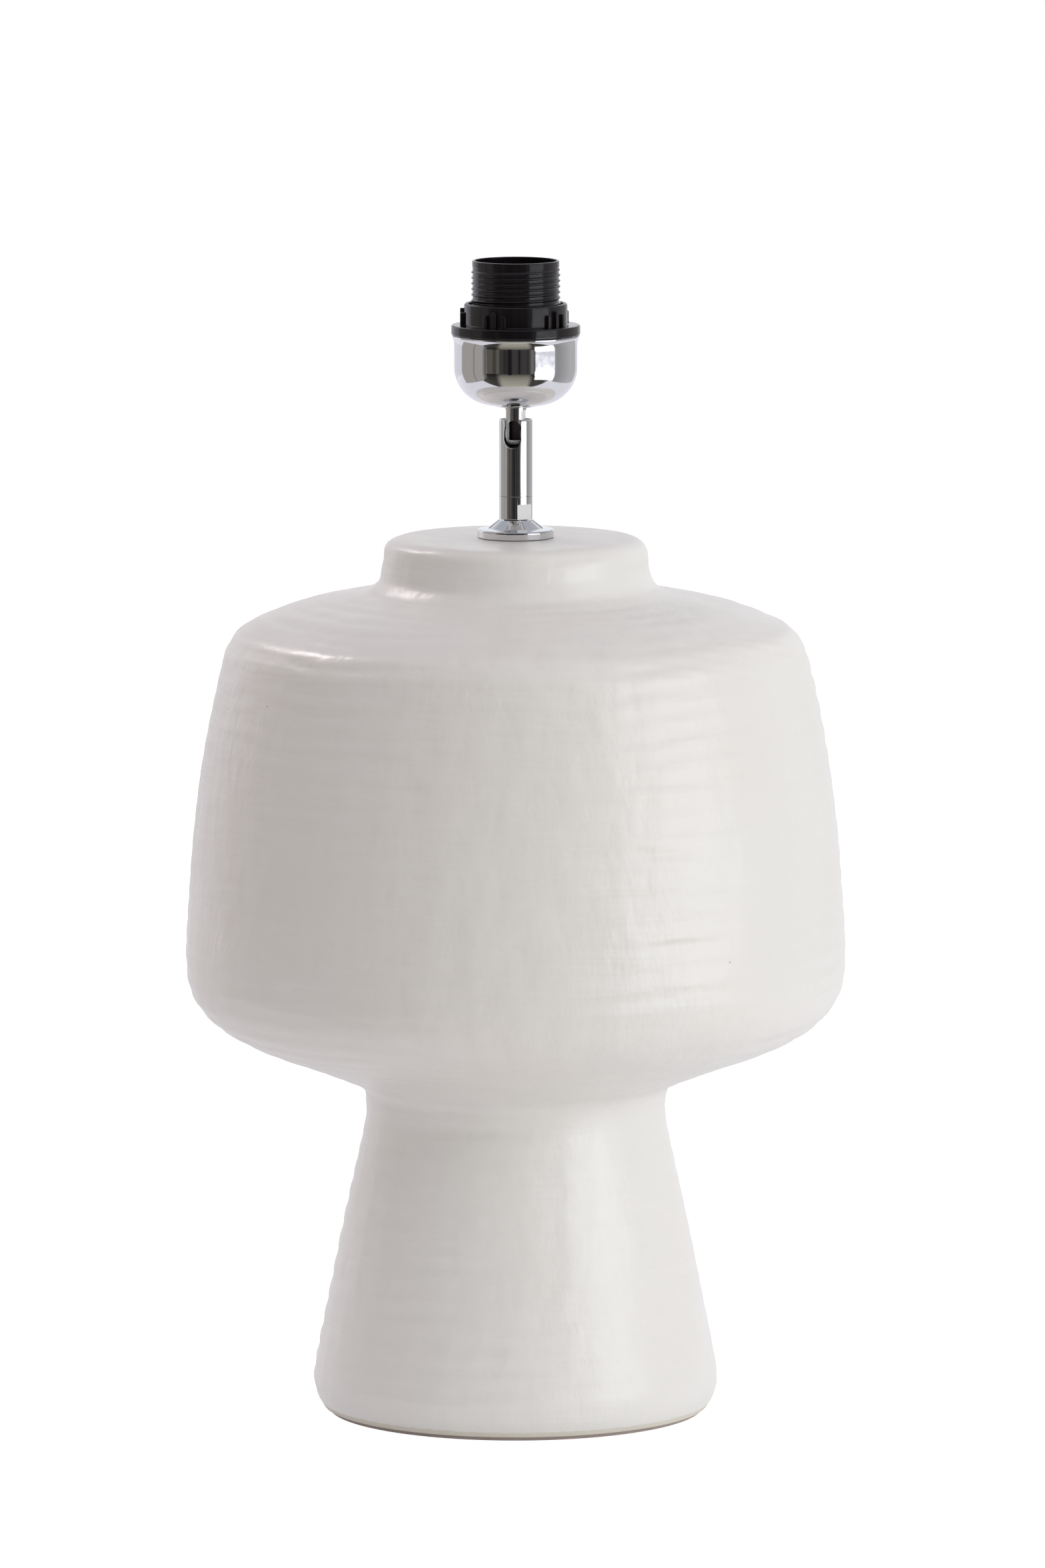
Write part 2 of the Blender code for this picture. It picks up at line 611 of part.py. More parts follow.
def make_retaining_ring(material):
    inner, outer, low, high = retainer_outline(0)
    outline = [(inner, low), (outer, low), (outer, high), (inner, high)]
    ring = turned(outline, SMALL_SIDES, FULL_TURN - RETAINER_SPLIT)
    make("retaining_ring", ring, material, location=(0, 0, SEAM))


def make_swivel_barrel(material, swivel):
    low = BARREL_BOTTOM - SEAM
    top = BARREL_TOP - SEAM
    centre = BALL_CENTRE - SEAM
    _, groove, groove_low, groove_high = retainer_outline(RUNNING_GAP)
    dome = arc(0, centre, BALL_BORE_RADIUS, 0, pi / 2, KNUCKLE_SIDES // 4)
    outline = (
        [(0, top), (BARREL_RADIUS - BARREL_EDGE, top), (BARREL_RADIUS, top - BARREL_EDGE),
         (BARREL_RADIUS, low + BARREL_EDGE), (BARREL_RADIUS - BARREL_EDGE, low),
         (BALL_BORE_RADIUS, low), (BALL_BORE_RADIUS, groove_low), (groove, groove_low),
         (groove, groove_high), (BALL_BORE_RADIUS, groove_high)]
        + dome[:-1] + [(0, dome[-1][1])])
    barrel = make("swivel_barrel", turned(outline, KNUCKLE_SIDES), material, parent=swivel)
    boolean(barrel, slot_cutter(top))
    boolean(barrel, opening_cutter(centre, top))
    boolean(barrel, stop_groove())


def slot_cutter(top):
    """A slot with a round foot, from the axis out through the barrel's front."""
    half = ROD_FLAT_WIDTH / 2 + SLOT_CLEARANCE
    foot = top - BALL_DEPTH - ROD_RADIUS - SLOT_FOOT_CLEARANCE + half
    round_foot = arc(0, foot, half, -pi, 0, KNUCKLE_SIDES // 3)
    outline = round_foot + [(half, top + OVERRUN), (-half, top + OVERRUN)]
    return extruded([(x, 0, z) for x, z in outline], (0, -BARREL_RADIUS - OVERRUN, 0))


def opening_cutter(low, top):
    """The rod's round-backed opening in the barrel's top."""
    radius = ROD_RADIUS + OPENING_CLEARANCE
    half = ROD_FLAT_WIDTH / 2 + OPENING_CLEARANCE
    turn = asin(half / radius)
    back = arc(0, 0, radius, pi / 2 - turn, pi / 2 + turn, KNUCKLE_SIDES // 3)
    outline = back + [(-half, -radius / 2), (half, -radius / 2)]
    return extruded([(x, y, low) for x, y in outline], (0, 0, top + OVERRUN - low))


def stop_groove():
    """The groove that the stop pin travels in, open but for a block at the back."""
    half_height = PIN_RADIUS + RUNNING_GAP
    outer = BALL_BORE_RADIUS + PIN_BITE + RUNNING_GAP
    inner = SPIGOT_RADIUS
    pin_turn = asin(PIN_RADIUS / inner)
    block = pi - SWIVEL_LIMIT - pin_turn - STOP_MARGIN
    low, high = PIN_RISE - half_height, PIN_RISE + half_height
    outline = [(inner, low), (outer, low), (outer, high), (inner, high)]
    groove = turned(outline, KNUCKLE_SIDES, FULL_TURN - 2 * block)
    return transformed(groove, Matrix.Rotation(pi / 2 + block, 4, "Z"))


def make_ball_seat(material, swivel):
    """A dished ring under the ball, notched where the rod lies when the head is level."""
    seat_bottom, _, _ = seat_stack()
    centre = BALL_CENTRE - SEAM
    outer = BALL_BORE_RADIUS - SEAT_GAP
    edge = outer - BARREL_EDGE
    start = -atan2(sqrt(BALL_BORE_RADIUS ** 2 - edge ** 2), edge)
    end = -atan2(sqrt(BALL_BORE_RADIUS ** 2 - NIPPLE_BORE_RADIUS ** 2), NIPPLE_BORE_RADIUS)
    dish = arc(0, centre, BALL_BORE_RADIUS, start, end, SMALL_SIDES // 5)
    outline = (
        [(NIPPLE_BORE_RADIUS, seat_bottom), (outer, seat_bottom), (outer, dish[0][1])] + dish)
    seat = make("ball_seat", turned(outline, KNUCKLE_SIDES), material, parent=swivel)
    boolean(seat, slot_cutter(BARREL_TOP - SEAM))


def make_wave_washer(material, swivel):
    _, wave_bottom, _ = seat_stack()
    middle = wave_bottom + WAVE_HEIGHT
    inner, outer = NIPPLE_BORE_RADIUS, BALL_BORE_RADIUS - SEAT_GAP - WAVE_INSET
    washer = tube(inner, outer, middle, middle + WAVE_THICKNESS, WASHER_SIDES)
    for vert in washer.verts:
        vert.co.z += WAVE_HEIGHT * cos(WAVE_COUNT * atan2(vert.co.y, vert.co.x))
    make("wave_washer", washer, material, parent=swivel)


# Tilting head: stem, cup and clamp, drawn from the ball's centre

def make_tilt_stem(material, tilt):
    start = -atan2(sqrt(BALL_RADIUS ** 2 - CABLE_BORE_RADIUS ** 2), CABLE_BORE_RADIUS)
    end = atan2(sqrt(BALL_RADIUS ** 2 - ROD_RADIUS ** 2), ROD_RADIUS)
    ball = arc(0, 0, BALL_RADIUS, start, end, KNUCKLE_SIDES // 4)
    outline = ball + [
        (ROD_RADIUS, ROD_FLAT_LENGTH), (ROD_RADIUS, COLLAR_TOP),
        (THREAD_RADIUS, COLLAR_TOP + STEM_CHAMFER), (THREAD_RADIUS, STEM_TOP - STEM_CHAMFER),
        (THREAD_RADIUS - STEM_CHAMFER, STEM_TOP), (CABLE_BORE_RADIUS, STEM_TOP)]
    stem = make("tilt_stem", turned(outline, KNUCKLE_SIDES), material, parent=tilt)
    flat = ROD_FLAT_WIDTH / 2
    outside = BALL_RADIUS + OVERRUN
    low = ball[-1][1]
    flats = [
        box((-outside, -outside, low), (-flat, outside, ROD_FLAT_LENGTH)),
        box((flat, -outside, low), (outside, outside, ROD_FLAT_LENGTH))]
    boolean(stem, joined(flats))
    boolean(stem, window_cutter())


def window_cutter():
    """The arched window that lets the cable bend out of the ball as the head tilts."""
    half = CABLE_BORE_RADIUS * WINDOW_WIDTH_SHARE
    top = BALL_DEPTH + WINDOW_TOP_RISE
    arch = arc(0, top - half, half, 0, pi, KNUCKLE_SIDES // 3)
    outline = arch + [(-half, -WINDOW_SILL_DROP), (half, -WINDOW_SILL_DROP)]
    return extruded([(x, 0, z) for x, z in outline], (0, -BALL_RADIUS - OVERRUN, 0))


def make_lampholder_cup(material, tilt):
    boss = CUP_BOSS_RADIUS
    bowl_foot = boss + CUP_BOSS_EDGE
    bowl_low = CUP_BOTTOM + CUP_BOSS_DEPTH
    bowl_top = CUP_BOTTOM + CUP_BOWL_HEIGHT

    flare_low = CUP_TOP - CUP_LIP_HEIGHT - CUP_FLARE_HEIGHT
    flare_radius = (CUP_FLARE_HEIGHT ** 2 + CUP_FLARE ** 2) / (2 * CUP_FLARE)
    flare_turn = asin(CUP_FLARE_HEIGHT / flare_radius)

    def wall(sheet):
        """The bowl and the flared mouth, moved inwards by the sheet's thickness."""
        bowl = arc(bowl_foot, bowl_top, CUP_RADIUS - bowl_foot - sheet, -pi / 2, 0, CUP_BOWL_STEPS,
                   bowl_top - bowl_low - sheet)
        flare = arc(CUP_RADIUS + flare_radius, flare_low, flare_radius + sheet,
                    pi, pi - flare_turn, CUP_FLARE_STEPS)
        return bowl + flare + [(flare[-1][0], CUP_TOP)]

    outline = (
        [(THREAD_HOLE_RADIUS, CUP_BOTTOM), (boss, CUP_BOTTOM)] + wall(0) + wall(CUP_SHEET)[::-1]
        + [(boss, CUP_FLOOR), (THREAD_HOLE_RADIUS, CUP_FLOOR)])
    make("lampholder_cup", turned(outline, CUP_SIDES), material, parent=tilt)


def make_cup_clamp(steel, fibre, tilt):
    washer = tube(THREAD_HOLE_RADIUS, CUP_WASHER_RADIUS, 0, CUP_WASHER_THICKNESS, WASHER_SIDES)
    make("cup_washer", washer, fibre, parent=tilt, location=(0, 0, CUP_WASHER_BOTTOM))
    make_nut("cup_nut", NUT_ACROSS_FLATS, CUP_NUT_HEIGHT, steel, parent=tilt,
             location=(0, 0, CUP_NUT_BOTTOM))


# Lampholder

def make_holder_cap(material, tilt):
    shoulder = SKIRT_BOTTOM - SEAT_GAP
    spigot = SKIRT_BORE_RADIUS - SEAT_GAP
    bore = spigot - CAP_WALL
    ledge = BLOCK_BOTTOM - SEAT_GAP
    cavity = bore - CAP_LEDGE
    flare_low = CAP_BOTTOM + CAP_BUSH_HEIGHT
    flare_top = flare_low + CAP_FLARE_HEIGHT
    floor = flare_low + CAP_FLOOR
    outline = [
        (THREAD_HOLE_RADIUS, CAP_BOTTOM), (CAP_BUSH_RADIUS, CAP_BOTTOM),
        (CAP_BUSH_RADIUS, flare_low), (SKIRT_RADIUS, flare_top), (SKIRT_RADIUS, shoulder),
        (spigot, shoulder), (spigot, shoulder + CAP_SPIGOT_HEIGHT),
        (bore, shoulder + CAP_SPIGOT_HEIGHT), (bore, ledge), (cavity, ledge),
        (cavity, flare_top + CAP_FLOOR / 2), (CAP_BUSH_RADIUS, floor),
        (THREAD_HOLE_RADIUS, floor)]
    cap = make("holder_cap", turned(outline, KNUCKLE_SIDES), material, parent=tilt)
    hole = cylinder(LOCK_SCREW_RADIUS + SEAT_GAP, 0, CAP_BUSH_RADIUS + OVERRUN, SMALL_SIDES // 2)
    boolean(cap, transformed(hole, lock_screw_frame()))


def lock_screw_frame():
    height = CAP_BOTTOM + CAP_BUSH_HEIGHT / 2
    return Matrix.Translation((0, 0, height)) @ Matrix.Rotation(-pi / 2, 4, "X")


def make_cap_lock_screw(material, tilt):
    screw = cylinder(LOCK_SCREW_RADIUS, THREAD_RADIUS + SEAT_GAP,
                     CAP_BUSH_RADIUS + LOCK_SCREW_PROUD, SMALL_SIDES // 2)
    make("cap_lock_screw", transformed(screw, lock_screw_frame()), material, parent=tilt)


def rivet_places():
    """Where the rivets of the centre leaf and of the side strip stand on the block."""
    return (0, CONTACT_ROOT), (0, -CONTACT_ROOT)


def make_contact_block(material, tilt):
    block = make("contact_block", cylinder(BLOCK_RADIUS, BLOCK_BOTTOM, BLOCK_TOP, KNUCKLE_SIDES),
                 material, parent=tilt)
    low = BLOCK_TOP - RIVET_LENGTH - SEAT_GAP
    holes = [
        transformed(cylinder(RIVET_RADIUS + SEAT_GAP, low, BLOCK_TOP + OVERRUN, SMALL_SIDES // 2),
                    Matrix.Translation((x, y, 0)))
        for x, y in rivet_places()]
    boolean(block, joined(holes))


def make_contact_rivets(material, tilt):
    head = BLOCK_TOP + SEAT_GAP + CONTACT_SHEET + SEAT_GAP
    outline = [
        (0, BLOCK_TOP - RIVET_LENGTH), (RIVET_RADIUS, BLOCK_TOP - RIVET_LENGTH),
        (RIVET_RADIUS, head), (RIVET_HEAD_RADIUS, head),
        (RIVET_HEAD_RADIUS, head + RIVET_HEAD_HEIGHT / 2), (0, head + RIVET_HEAD_HEIGHT)]
    for name, (x, y) in zip(("centre_rivet", "side_rivet"), rivet_places()):
        rivet = turned(outline, SMALL_SIDES // 2)
        make(name, rivet, material, parent=tilt, location=(x, y, 0))


def strip(outline, width):
    """A bent strip of sheet: a side outline of (along, up), drawn out to its width."""
    return extruded([(-width / 2, along, up) for along, up in outline], (width, 0, 0))


def rivet_hole(thing, low, high):
    boolean(thing, cylinder(RIVET_RADIUS + SEAT_GAP, low - OVERRUN / 2, high + OVERRUN / 2,
                            SMALL_SIDES // 2))


def make_centre_contact(material, root):
    """A leaf that rises from its rivet to the lamp's tip. Its origin is at the rivet."""
    sheet = CONTACT_SHEET
    bend = -CONTACT_ROOT_LENGTH / 2
    tip = -CONTACT_ROOT - CONTACT_TIP_REACH
    nose = tip + CONTACT_TIP_REACH
    outline = [
        (-bend, 0), (-bend, sheet), (bend, sheet), (nose, CONTACT_TIP_RISE + sheet),
        (tip, CONTACT_TIP_RISE), (tip, CONTACT_TIP_RISE - sheet),
        (nose, CONTACT_TIP_RISE), (bend, 0)]
    leaf = make("centre_contact", strip(outline, CONTACT_WIDTH), material, parent=root)
    rivet_hole(leaf, 0, sheet)


def make_side_contact(material, tilt):
    """An angled strip that stands beside the lamp's threaded shell."""
    sheet = CONTACT_SHEET
    back = -(SOCKET_RADIUS * cos(asin(CONTACT_WIDTH / 2 / SOCKET_RADIUS)) - CONTACT_SIDE_INSET)
    inner_end = -CONTACT_ROOT + CONTACT_ROOT_LENGTH / 2
    shift = -CONTACT_ROOT
    outline = [
        (inner_end - shift, 0), (inner_end - shift, sheet), (back + sheet - shift, sheet),
        (back + sheet - shift, CONTACT_SIDE_RISE), (back - shift, CONTACT_SIDE_RISE),
        (back - shift, 0)]
    side = make("side_contact", strip(outline, CONTACT_WIDTH), material, parent=tilt,
                location=(0, shift, BLOCK_TOP + SEAT_GAP))
    rivet_hole(side, 0, sheet)


def make_terminals(brass, steel, tilt):
    top = BLOCK_BOTTOM - SEAT_GAP
    screw_height = top - POST_LENGTH / 2
    lie = Matrix.Translation((0, 0, screw_height)) @ Matrix.Rotation(pi / 2, 4, "X")
    for side, offset in (("left", -POST_OFFSET), ("right", POST_OFFSET)):
        post = make("terminal_post_" + side, cylinder(POST_RADIUS, top - POST_LENGTH, top), brass,
                    parent=tilt, location=(offset, 0, 0))
        hole = cylinder(TERMINAL_SCREW_RADIUS + SEAT_GAP, 0, POST_RADIUS + OVERRUN, SMALL_SIDES // 2)
        boolean(post, transformed(hole, lie))
        screw = cylinder(TERMINAL_SCREW_RADIUS, SEAT_GAP, POST_RADIUS + TERMINAL_SCREW_PROUD,
                         SMALL_SIDES // 2)
        make("terminal_screw_" + side, transformed(screw, lie), steel, parent=tilt,
             location=(offset, 0, 0))


def make_threaded_skirt(material, tilt):
    web_top = SKIRT_TOP - SOCKET_MOUTH_DROP
    web_low = web_top - SOCKET_WEB
    socket_low = BLOCK_TOP + SEAT_GAP
    socket_outer = SOCKET_RADIUS + SOCKET_WALL
    band_low = SKIRT_TOP - SKIRT_BAND_HEIGHT
    outline = [
        (SKIRT_RADIUS, SKIRT_BOTTOM), (SKIRT_RADIUS, band_low), (SKIRT_BAND_RADIUS, band_low),
        (SKIRT_BAND_RADIUS, SKIRT_TOP - SKIRT_RIM_EDGE),
        (SKIRT_BAND_RADIUS - SKIRT_RIM_EDGE, SKIRT_TOP), (SKIRT_BORE_RADIUS, SKIRT_TOP),
        (SKIRT_BORE_RADIUS, web_top), (SOCKET_RADIUS, web_top), (SOCKET_RADIUS, socket_low),
        (socket_outer, socket_low), (socket_outer, web_low), (SKIRT_BORE_RADIUS, web_low),
        (SKIRT_BORE_RADIUS, SKIRT_BOTTOM)]
    make("threaded_skirt", turned(outline, CUP_SIDES), material, parent=tilt)


def make_shade_ring(material, slide):
    """Flange, ribbed collar and threaded bore, drawn from the ring's lower face."""
    top = SHADE_RING_THICKNESS + SHADE_COLLAR_HEIGHT
    relief = SHADE_BORE_RADIUS + SHADE_RELIEF
    outline = [
        (SHADE_BORE_RADIUS, 0), (SHADE_RING_RADIUS - SHADE_EDGE, 0),
        (SHADE_RING_RADIUS, SHADE_EDGE), (SHADE_RING_RADIUS, SHADE_RING_THICKNESS - SHADE_EDGE),
        (SHADE_RING_RADIUS - SHADE_EDGE, SHADE_RING_THICKNESS),
        (SHADE_COLLAR_RADIUS, SHADE_RING_THICKNESS), (SHADE_COLLAR_RADIUS, top - SHADE_EDGE),
        (SHADE_COLLAR_RADIUS - SHADE_EDGE, top), (relief, top),
        (relief, SHADE_THREAD_HEIGHT + SHADE_RELIEF), (SHADE_BORE_RADIUS, SHADE_THREAD_HEIGHT)]
    ring = make("shade_ring", turned(outline, RING_SIDES), material, parent=slide)
    ribs = []
    for group in range(RIB_GROUPS):
        middle = RIB_GROUP_TURN - SLOT_TURN + group * FULL_TURN / RIB_GROUPS
        for place, height in enumerate(RIB_HEIGHTS):
            turn = middle + (place - (len(RIB_HEIGHTS) - 1) / 2) * RIB_SPACING
            ribs.append(transformed(grip_rib(height), Matrix.Rotation(turn, 4, "Z")))
    boolean(ring, joined(ribs), "UNION")


def grip_rib(height):
    """A round-topped rib that starts inside the flange and the collar."""
    half = RIB_WIDTH / 2
    low = SHADE_RING_THICKNESS - SHADE_EDGE
    arch = arc(0, SHADE_RING_THICKNESS + height - half, half, 0, pi, RIB_ARCH_STEPS)
    outline = arch + [(-half, low), (half, low)]
    start = SHADE_COLLAR_RADIUS - SHADE_COLLAR_WALL / 2
    length = SHADE_COLLAR_RADIUS + RIB_PROUD - start
    return extruded([(x, -start, z) for x, z in outline], (0, -length, 0))


def build_lamp_base():
    clear_scene()
    glaze = finish("white_glaze", (0.80, 0.79, 0.77), 0.5)
    felt = finish("brown_felt", (0.42, 0.34, 0.31), 0.95)
    rubber = finish("grey_rubber", (0.12, 0.12, 0.12), 0.8)
    steel = finish("zinc_steel", (0.55, 0.55, 0.52), 0.35, 1.0)
    chrome = finish("chrome", (0.85, 0.86, 0.88), 0.06, 1.0)
    brass = finish("brass", (0.78, 0.60, 0.30), 0.3, 1.0)
    fibre = finish("red_fibre", (0.45, 0.12, 0.08), 0.8)
    black = finish("black_thermoplastic", (0.012, 0.012, 0.012), 0.25)
    ivory = finish("ivory_ceramic", (0.78, 0.75, 0.68), 0.5)

    make_ceramic_body(glaze)
    make_base_pad(felt)
    make_cord_grommet(rubber)
    make_nipple_stack(steel, rubber)
    make_canopy_flange(chrome)
    make_swivel_base(chrome)
    make_stop_pin(steel)
    make_retaining_ring(steel)

    swivel = pivot("swivel_pivot", (0, 0, SEAM), SLOT_TURN)
    make_swivel_barrel(chrome, swivel)
    make_ball_seat(steel, swivel)
    make_wave_washer(steel, swivel)

    tilt = pivot("tilt_pivot", (0, 0, BALL_CENTRE - SEAM), parent=swivel)
    make_tilt_stem(chrome, tilt)
    make_lampholder_cup(chrome, tilt)
    make_cup_clamp(steel, fibre, tilt)
    make_holder_cap(black, tilt)
    make_cap_lock_screw(steel, tilt)
    make_contact_block(ivory, tilt)
    make_contact_rivets(brass, tilt)
    make_side_contact(brass, tilt)
    make_terminals(brass, steel, tilt)
    make_threaded_skirt(black, tilt)

    leaf = pivot("leaf_pivot", (0, CONTACT_ROOT, BLOCK_TOP + SEAT_GAP), parent=tilt)
    make_centre_contact(brass, leaf)
    slide = pivot("shade_ring_slide", (0, 0, SHADE_RING_BOTTOM), parent=tilt)
    make_shade_ring(black, slide)


build_lamp_base()
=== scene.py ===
import json
from math import asin, atan2, ceil, cos, hypot, pi, radians, sin, sqrt, tan

import bmesh
import bpy
from mathutils import Matrix, Vector


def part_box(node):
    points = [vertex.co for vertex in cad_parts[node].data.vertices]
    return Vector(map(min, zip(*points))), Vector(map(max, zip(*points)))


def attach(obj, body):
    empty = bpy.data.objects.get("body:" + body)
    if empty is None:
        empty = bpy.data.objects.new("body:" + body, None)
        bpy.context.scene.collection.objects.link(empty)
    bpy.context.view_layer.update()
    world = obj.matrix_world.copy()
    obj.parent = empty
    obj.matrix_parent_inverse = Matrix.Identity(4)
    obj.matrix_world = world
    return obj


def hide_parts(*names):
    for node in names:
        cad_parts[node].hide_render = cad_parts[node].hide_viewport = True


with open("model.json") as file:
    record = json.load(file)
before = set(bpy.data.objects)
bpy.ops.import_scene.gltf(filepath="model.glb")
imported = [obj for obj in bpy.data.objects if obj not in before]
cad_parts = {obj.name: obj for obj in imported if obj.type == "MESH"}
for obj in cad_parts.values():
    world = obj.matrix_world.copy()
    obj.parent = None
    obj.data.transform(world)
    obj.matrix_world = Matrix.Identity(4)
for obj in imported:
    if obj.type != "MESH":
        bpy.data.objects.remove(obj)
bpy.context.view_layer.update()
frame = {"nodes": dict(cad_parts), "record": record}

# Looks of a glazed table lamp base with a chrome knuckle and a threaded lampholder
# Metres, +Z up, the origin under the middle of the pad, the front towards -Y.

FULL_TURN = 2 * pi
FRONT_SHARE = 0.25           # of a turn, from the front on to +X

# Clearances, as the solids have them
SEAT_GAP = 0.0003
SEAM_LINE = 0.00012
OVERRUN = 0.002
CUT_MARGIN = 0.0001
THREAD_LEAD = 0.0002
MERGE_DISTANCE = 0.000001
SHARP_ANGLE = radians(32)

# How finely the pieces are turned
BODY_AROUND = 300
BODY_STEP = 0.00195
INNER_STEP = 0.012
CHROME_AROUND = 160
KNUCKLE_AROUND = 144
THREAD_AROUND = 144
SMALL_AROUND = 72
FILLET_STEPS = 6

# Edge radii that many pieces share
SHARP_EDGE = 0.0001
FINE_EDGE = 0.0002
CRISP_EDGE = 0.0003
EASED_EDGE = 0.0004
SOFT_EDGE = 0.0005
ROUND_EDGE = 0.0006

# Form of every thread
FLANK_SHARES = (0.0, 0.2, 0.4, 0.6, 0.8, 1.0)
CREST_SHARE = 0.96           # height of a flank's upper end, of the depth
THREAD_FOOT_SHARE = 0.62     # where the root is plain again, of the ridge's base
RUN_OUT_SHARE = 0.7          # of a turn, over which a thread rises and fades

# Ceramic body: each rise is the height from the end of the stretch below
FOOT_UNDER_RADIUS = 0.0860
FOOT_RADIUS = 0.0902
FOOT_EDGE_RISE = 0.0125
FOOT_RING_WIDTH = 0.0095
FOOT_FILLET = 0.0006
WAIST_RADIUS = 0.0668
CONE_RISE = 0.1245
BELLY_RADIUS = 0.1472
UNDERSIDE_RISE = 0.0680
SHOULDER_RADIUS = 0.1272
SIDE_RISE = 0.1386
NECK_BASE_RADIUS = 0.0612
SHOULDER_RISE = 0.0274
NECK_FLAT_RADIUS = 0.0480
NECK_RISE = 0.0196
BODY_WALL = 0.0060
NECK_TOP_THICKNESS = 0.0080
NECK_TOP_STATIONS = (0.040, 0.030, 0.022, 0.014, 0.008)

# How far each station lies along its stretch, as (share of radius, share of height)
FOOT_EDGE_SHARES = ((0.0, 0.0), (0.33, 0.16), (0.76, 0.48), (1.0, 1.0))
CONE_SHARES = (
    (0.051, 0.076), (0.239, 0.261), (0.521, 0.526), (0.821, 0.791), (0.966, 0.92), (1.0, 1.0))
UNDERSIDE_SHARES = (
    (0.030, 0.115), (0.164, 0.197), (0.413, 0.313), (0.637, 0.412),
    (0.811, 0.522), (0.923, 0.647), (0.985, 0.794), (1.0, 1.0))
SIDE_SHARES = ((0.05, 0.144), (0.19, 0.404), (0.43, 0.664), (0.81, 0.924), (1.0, 1.0))
SHOULDER_SHARES = ((0.102, 0.263), (0.397, 0.555), (0.685, 0.715), (0.912, 0.839), (1.0, 1.0))
NECK_SHARES = ((0.167, 0.408), (0.197, 0.673), (0.326, 0.867), (0.636, 0.985), (1.0, 1.0))

# Relief that the thrower's fingers left in the wall
RING_PITCH = 0.0105
RING_DEPTH = 0.00050
RING_SHARPNESS = 1.6
RING_WAVER = 1.6
RING_WAVER_SCALE = 14.0
RING_PATCH_SCALE = 9.0
RING_PATCHES = (0.35, 0.65, 0.25, 1.0)
BUMP_SIZE = 0.030
BUMP_DEPTH = 0.00030
RIPPLE_PITCH = 0.0062
RIPPLE_DEPTH = 0.00034
RIPPLE_TURN = radians(55)    # from the front, positive to the right
RIPPLE_COUNT = 34.0
RIPPLE_LOOSENESS = 1.2
RIPPLE_REACH = (0.10, 0.02)  # of a turn from their middle: none left, and full
RIPPLE_FADE_BELOW = 0.014
RIPPLE_FADE_ABOVE = 0.010
RIPPLES_UNDER_SHOULDER = 0.012
RIPPLES_OVER_NECK_BASE = 0.002
RELIEF_SEED = 4.0
RELIEF_FADE = 0.009          # from the foot, the neck's flat and the cord hole

# Glaze: what shows through it, its bare foot and the marks of the fingers
GLAZE = (0.805, 0.795, 0.775)
THIN_GLAZE = (0.785, 0.762, 0.738)
SPECK = (0.10, 0.085, 0.07)
DARK_CLAY = (0.66, 0.62, 0.54)
PALE_CLAY = (0.78, 0.75, 0.68)
BARE_FOOT = 0.0024
GLAZE_EDGE_WAVER = 0.0012
BARE_DULLNESS = 0.45
FINGER_MARKS = 140.0         # around the body
FINGER_WAVER = 26.0
FINGER_ROW = 0.0165
FINGERS_LOW = (0.190, 0.215)
FINGERS_HIGH = (0.345, 0.318)
FINGER_DEPTH = 0.00003
WORKED_PATCHES = (0.45, 0.65)
ROW_CONTRAST = (-0.6, 0.6, 0.25, 1.0)
PORE_DEPTH = 0.00004
MARK_DEPTH = 0.0011
UPRIGHT_SQUEEZE = (1.0, 1.0, 0.5)
LEVEL_SQUEEZE = (0.16, 0.16, 1.0)

# Chrome, and the metal it leaves bare, darkened inside the slot and the bore as painted shade
PLATE_RELIEF = 0.000006
MILLED_LINES = (0.05, 0.05, 0.997)
MILLED_CONTRAST = (0.50, 0.60, 0.0, 0.75)
MILLED_DEPTH = 0.00005
MILLED_DULLNESS = 0.22
MILLED_GREY = (0.45, 0.45, 0.44)
BARE_ROUGHNESS = 0.4
# Colours of the bare metal inside the slot and the bore, darkened as painted shade
SLOT_BARE_AND_SHADED = (0.22, 0.20, 0.20)
BORE_BARE_AND_SHADED = (0.15, 0.125, 0.135)
SLOT_PLATE = 0.0005          # how deep the chrome reaches into the slot

# Pad, cord hole and grommet
PAD_RADIUS = 0.0838
PAD_THICKNESS = 0.0015
PAD_HUB = 0.002
PAD_RING_SHARES = (0.25, 0.5, 0.75, 0.95)
CORD_HOLE_HEIGHT = 0.0260
CORD_RADIUS = 0.0034
HOLE_OVERRUN = 0.01
GROMMET_SLEEVE = 0.0047
GROMMET_LIP = 0.0063
GROMMET_LIP_THICKNESS = 0.0014
GROMMET_MOUTH_EDGE = 0.0010

# Knuckle
THREAD_RADIUS = 0.0049
THREAD_HOLE_RADIUS = 0.0052
METRIC_PITCH = 0.0010
METRIC_DEPTH = 0.00055
METRIC_ROOT = THREAD_RADIUS - METRIC_DEPTH
METRIC_CREST = 0.0001
METRIC_BASE = 0.0009
CABLE_BORE_RADIUS = 0.0030
NIPPLE_BORE_RADIUS = 0.0035
CANOPY_RADIUS = 0.0170
CANOPY_HEIGHT = 0.0079
CANOPY_RIM_HEIGHT = 0.0036
CANOPY_CONE = 0.0127
CANOPY_LEDGE = 0.0041
CANOPY_RECESS = 0.0130
CANOPY_RECESS_DEPTH = 0.0026
CANOPY_NOSE = 0.0080
CANOPY_NOSE_HEIGHT = 0.0076
CANOPY_TIP = 0.0077
CANOPY_RIM_EDGE = 0.0008
CANOPY_LEDGE_FILLET = 0.0012
BARREL_RADIUS = 0.0075
BALL_BORE_RADIUS = 0.0060
BALL_RADIUS = 0.0057
BALL_DEPTH = 0.0068
BARREL_HUB = 0.004
ROD_RADIUS = 0.0049
ROD_FLAT_WIDTH = 0.0076
ROD_FLAT_LENGTH = 0.011124
COLLAR_LENGTH = 0.0011
SLOT_CLEARANCE = 0.0004
SLOT_FOOT_CLEARANCE = 0.0009
SLOT_TURN = radians(-14)
WINDOW_HALF = 0.0033
WINDOW_SILL_DROP = 0.0024
WINDOW_TOP = 0.0065
BASE_LENGTH = 0.0102
BASE_FLAT_DEPTH = 0.0010
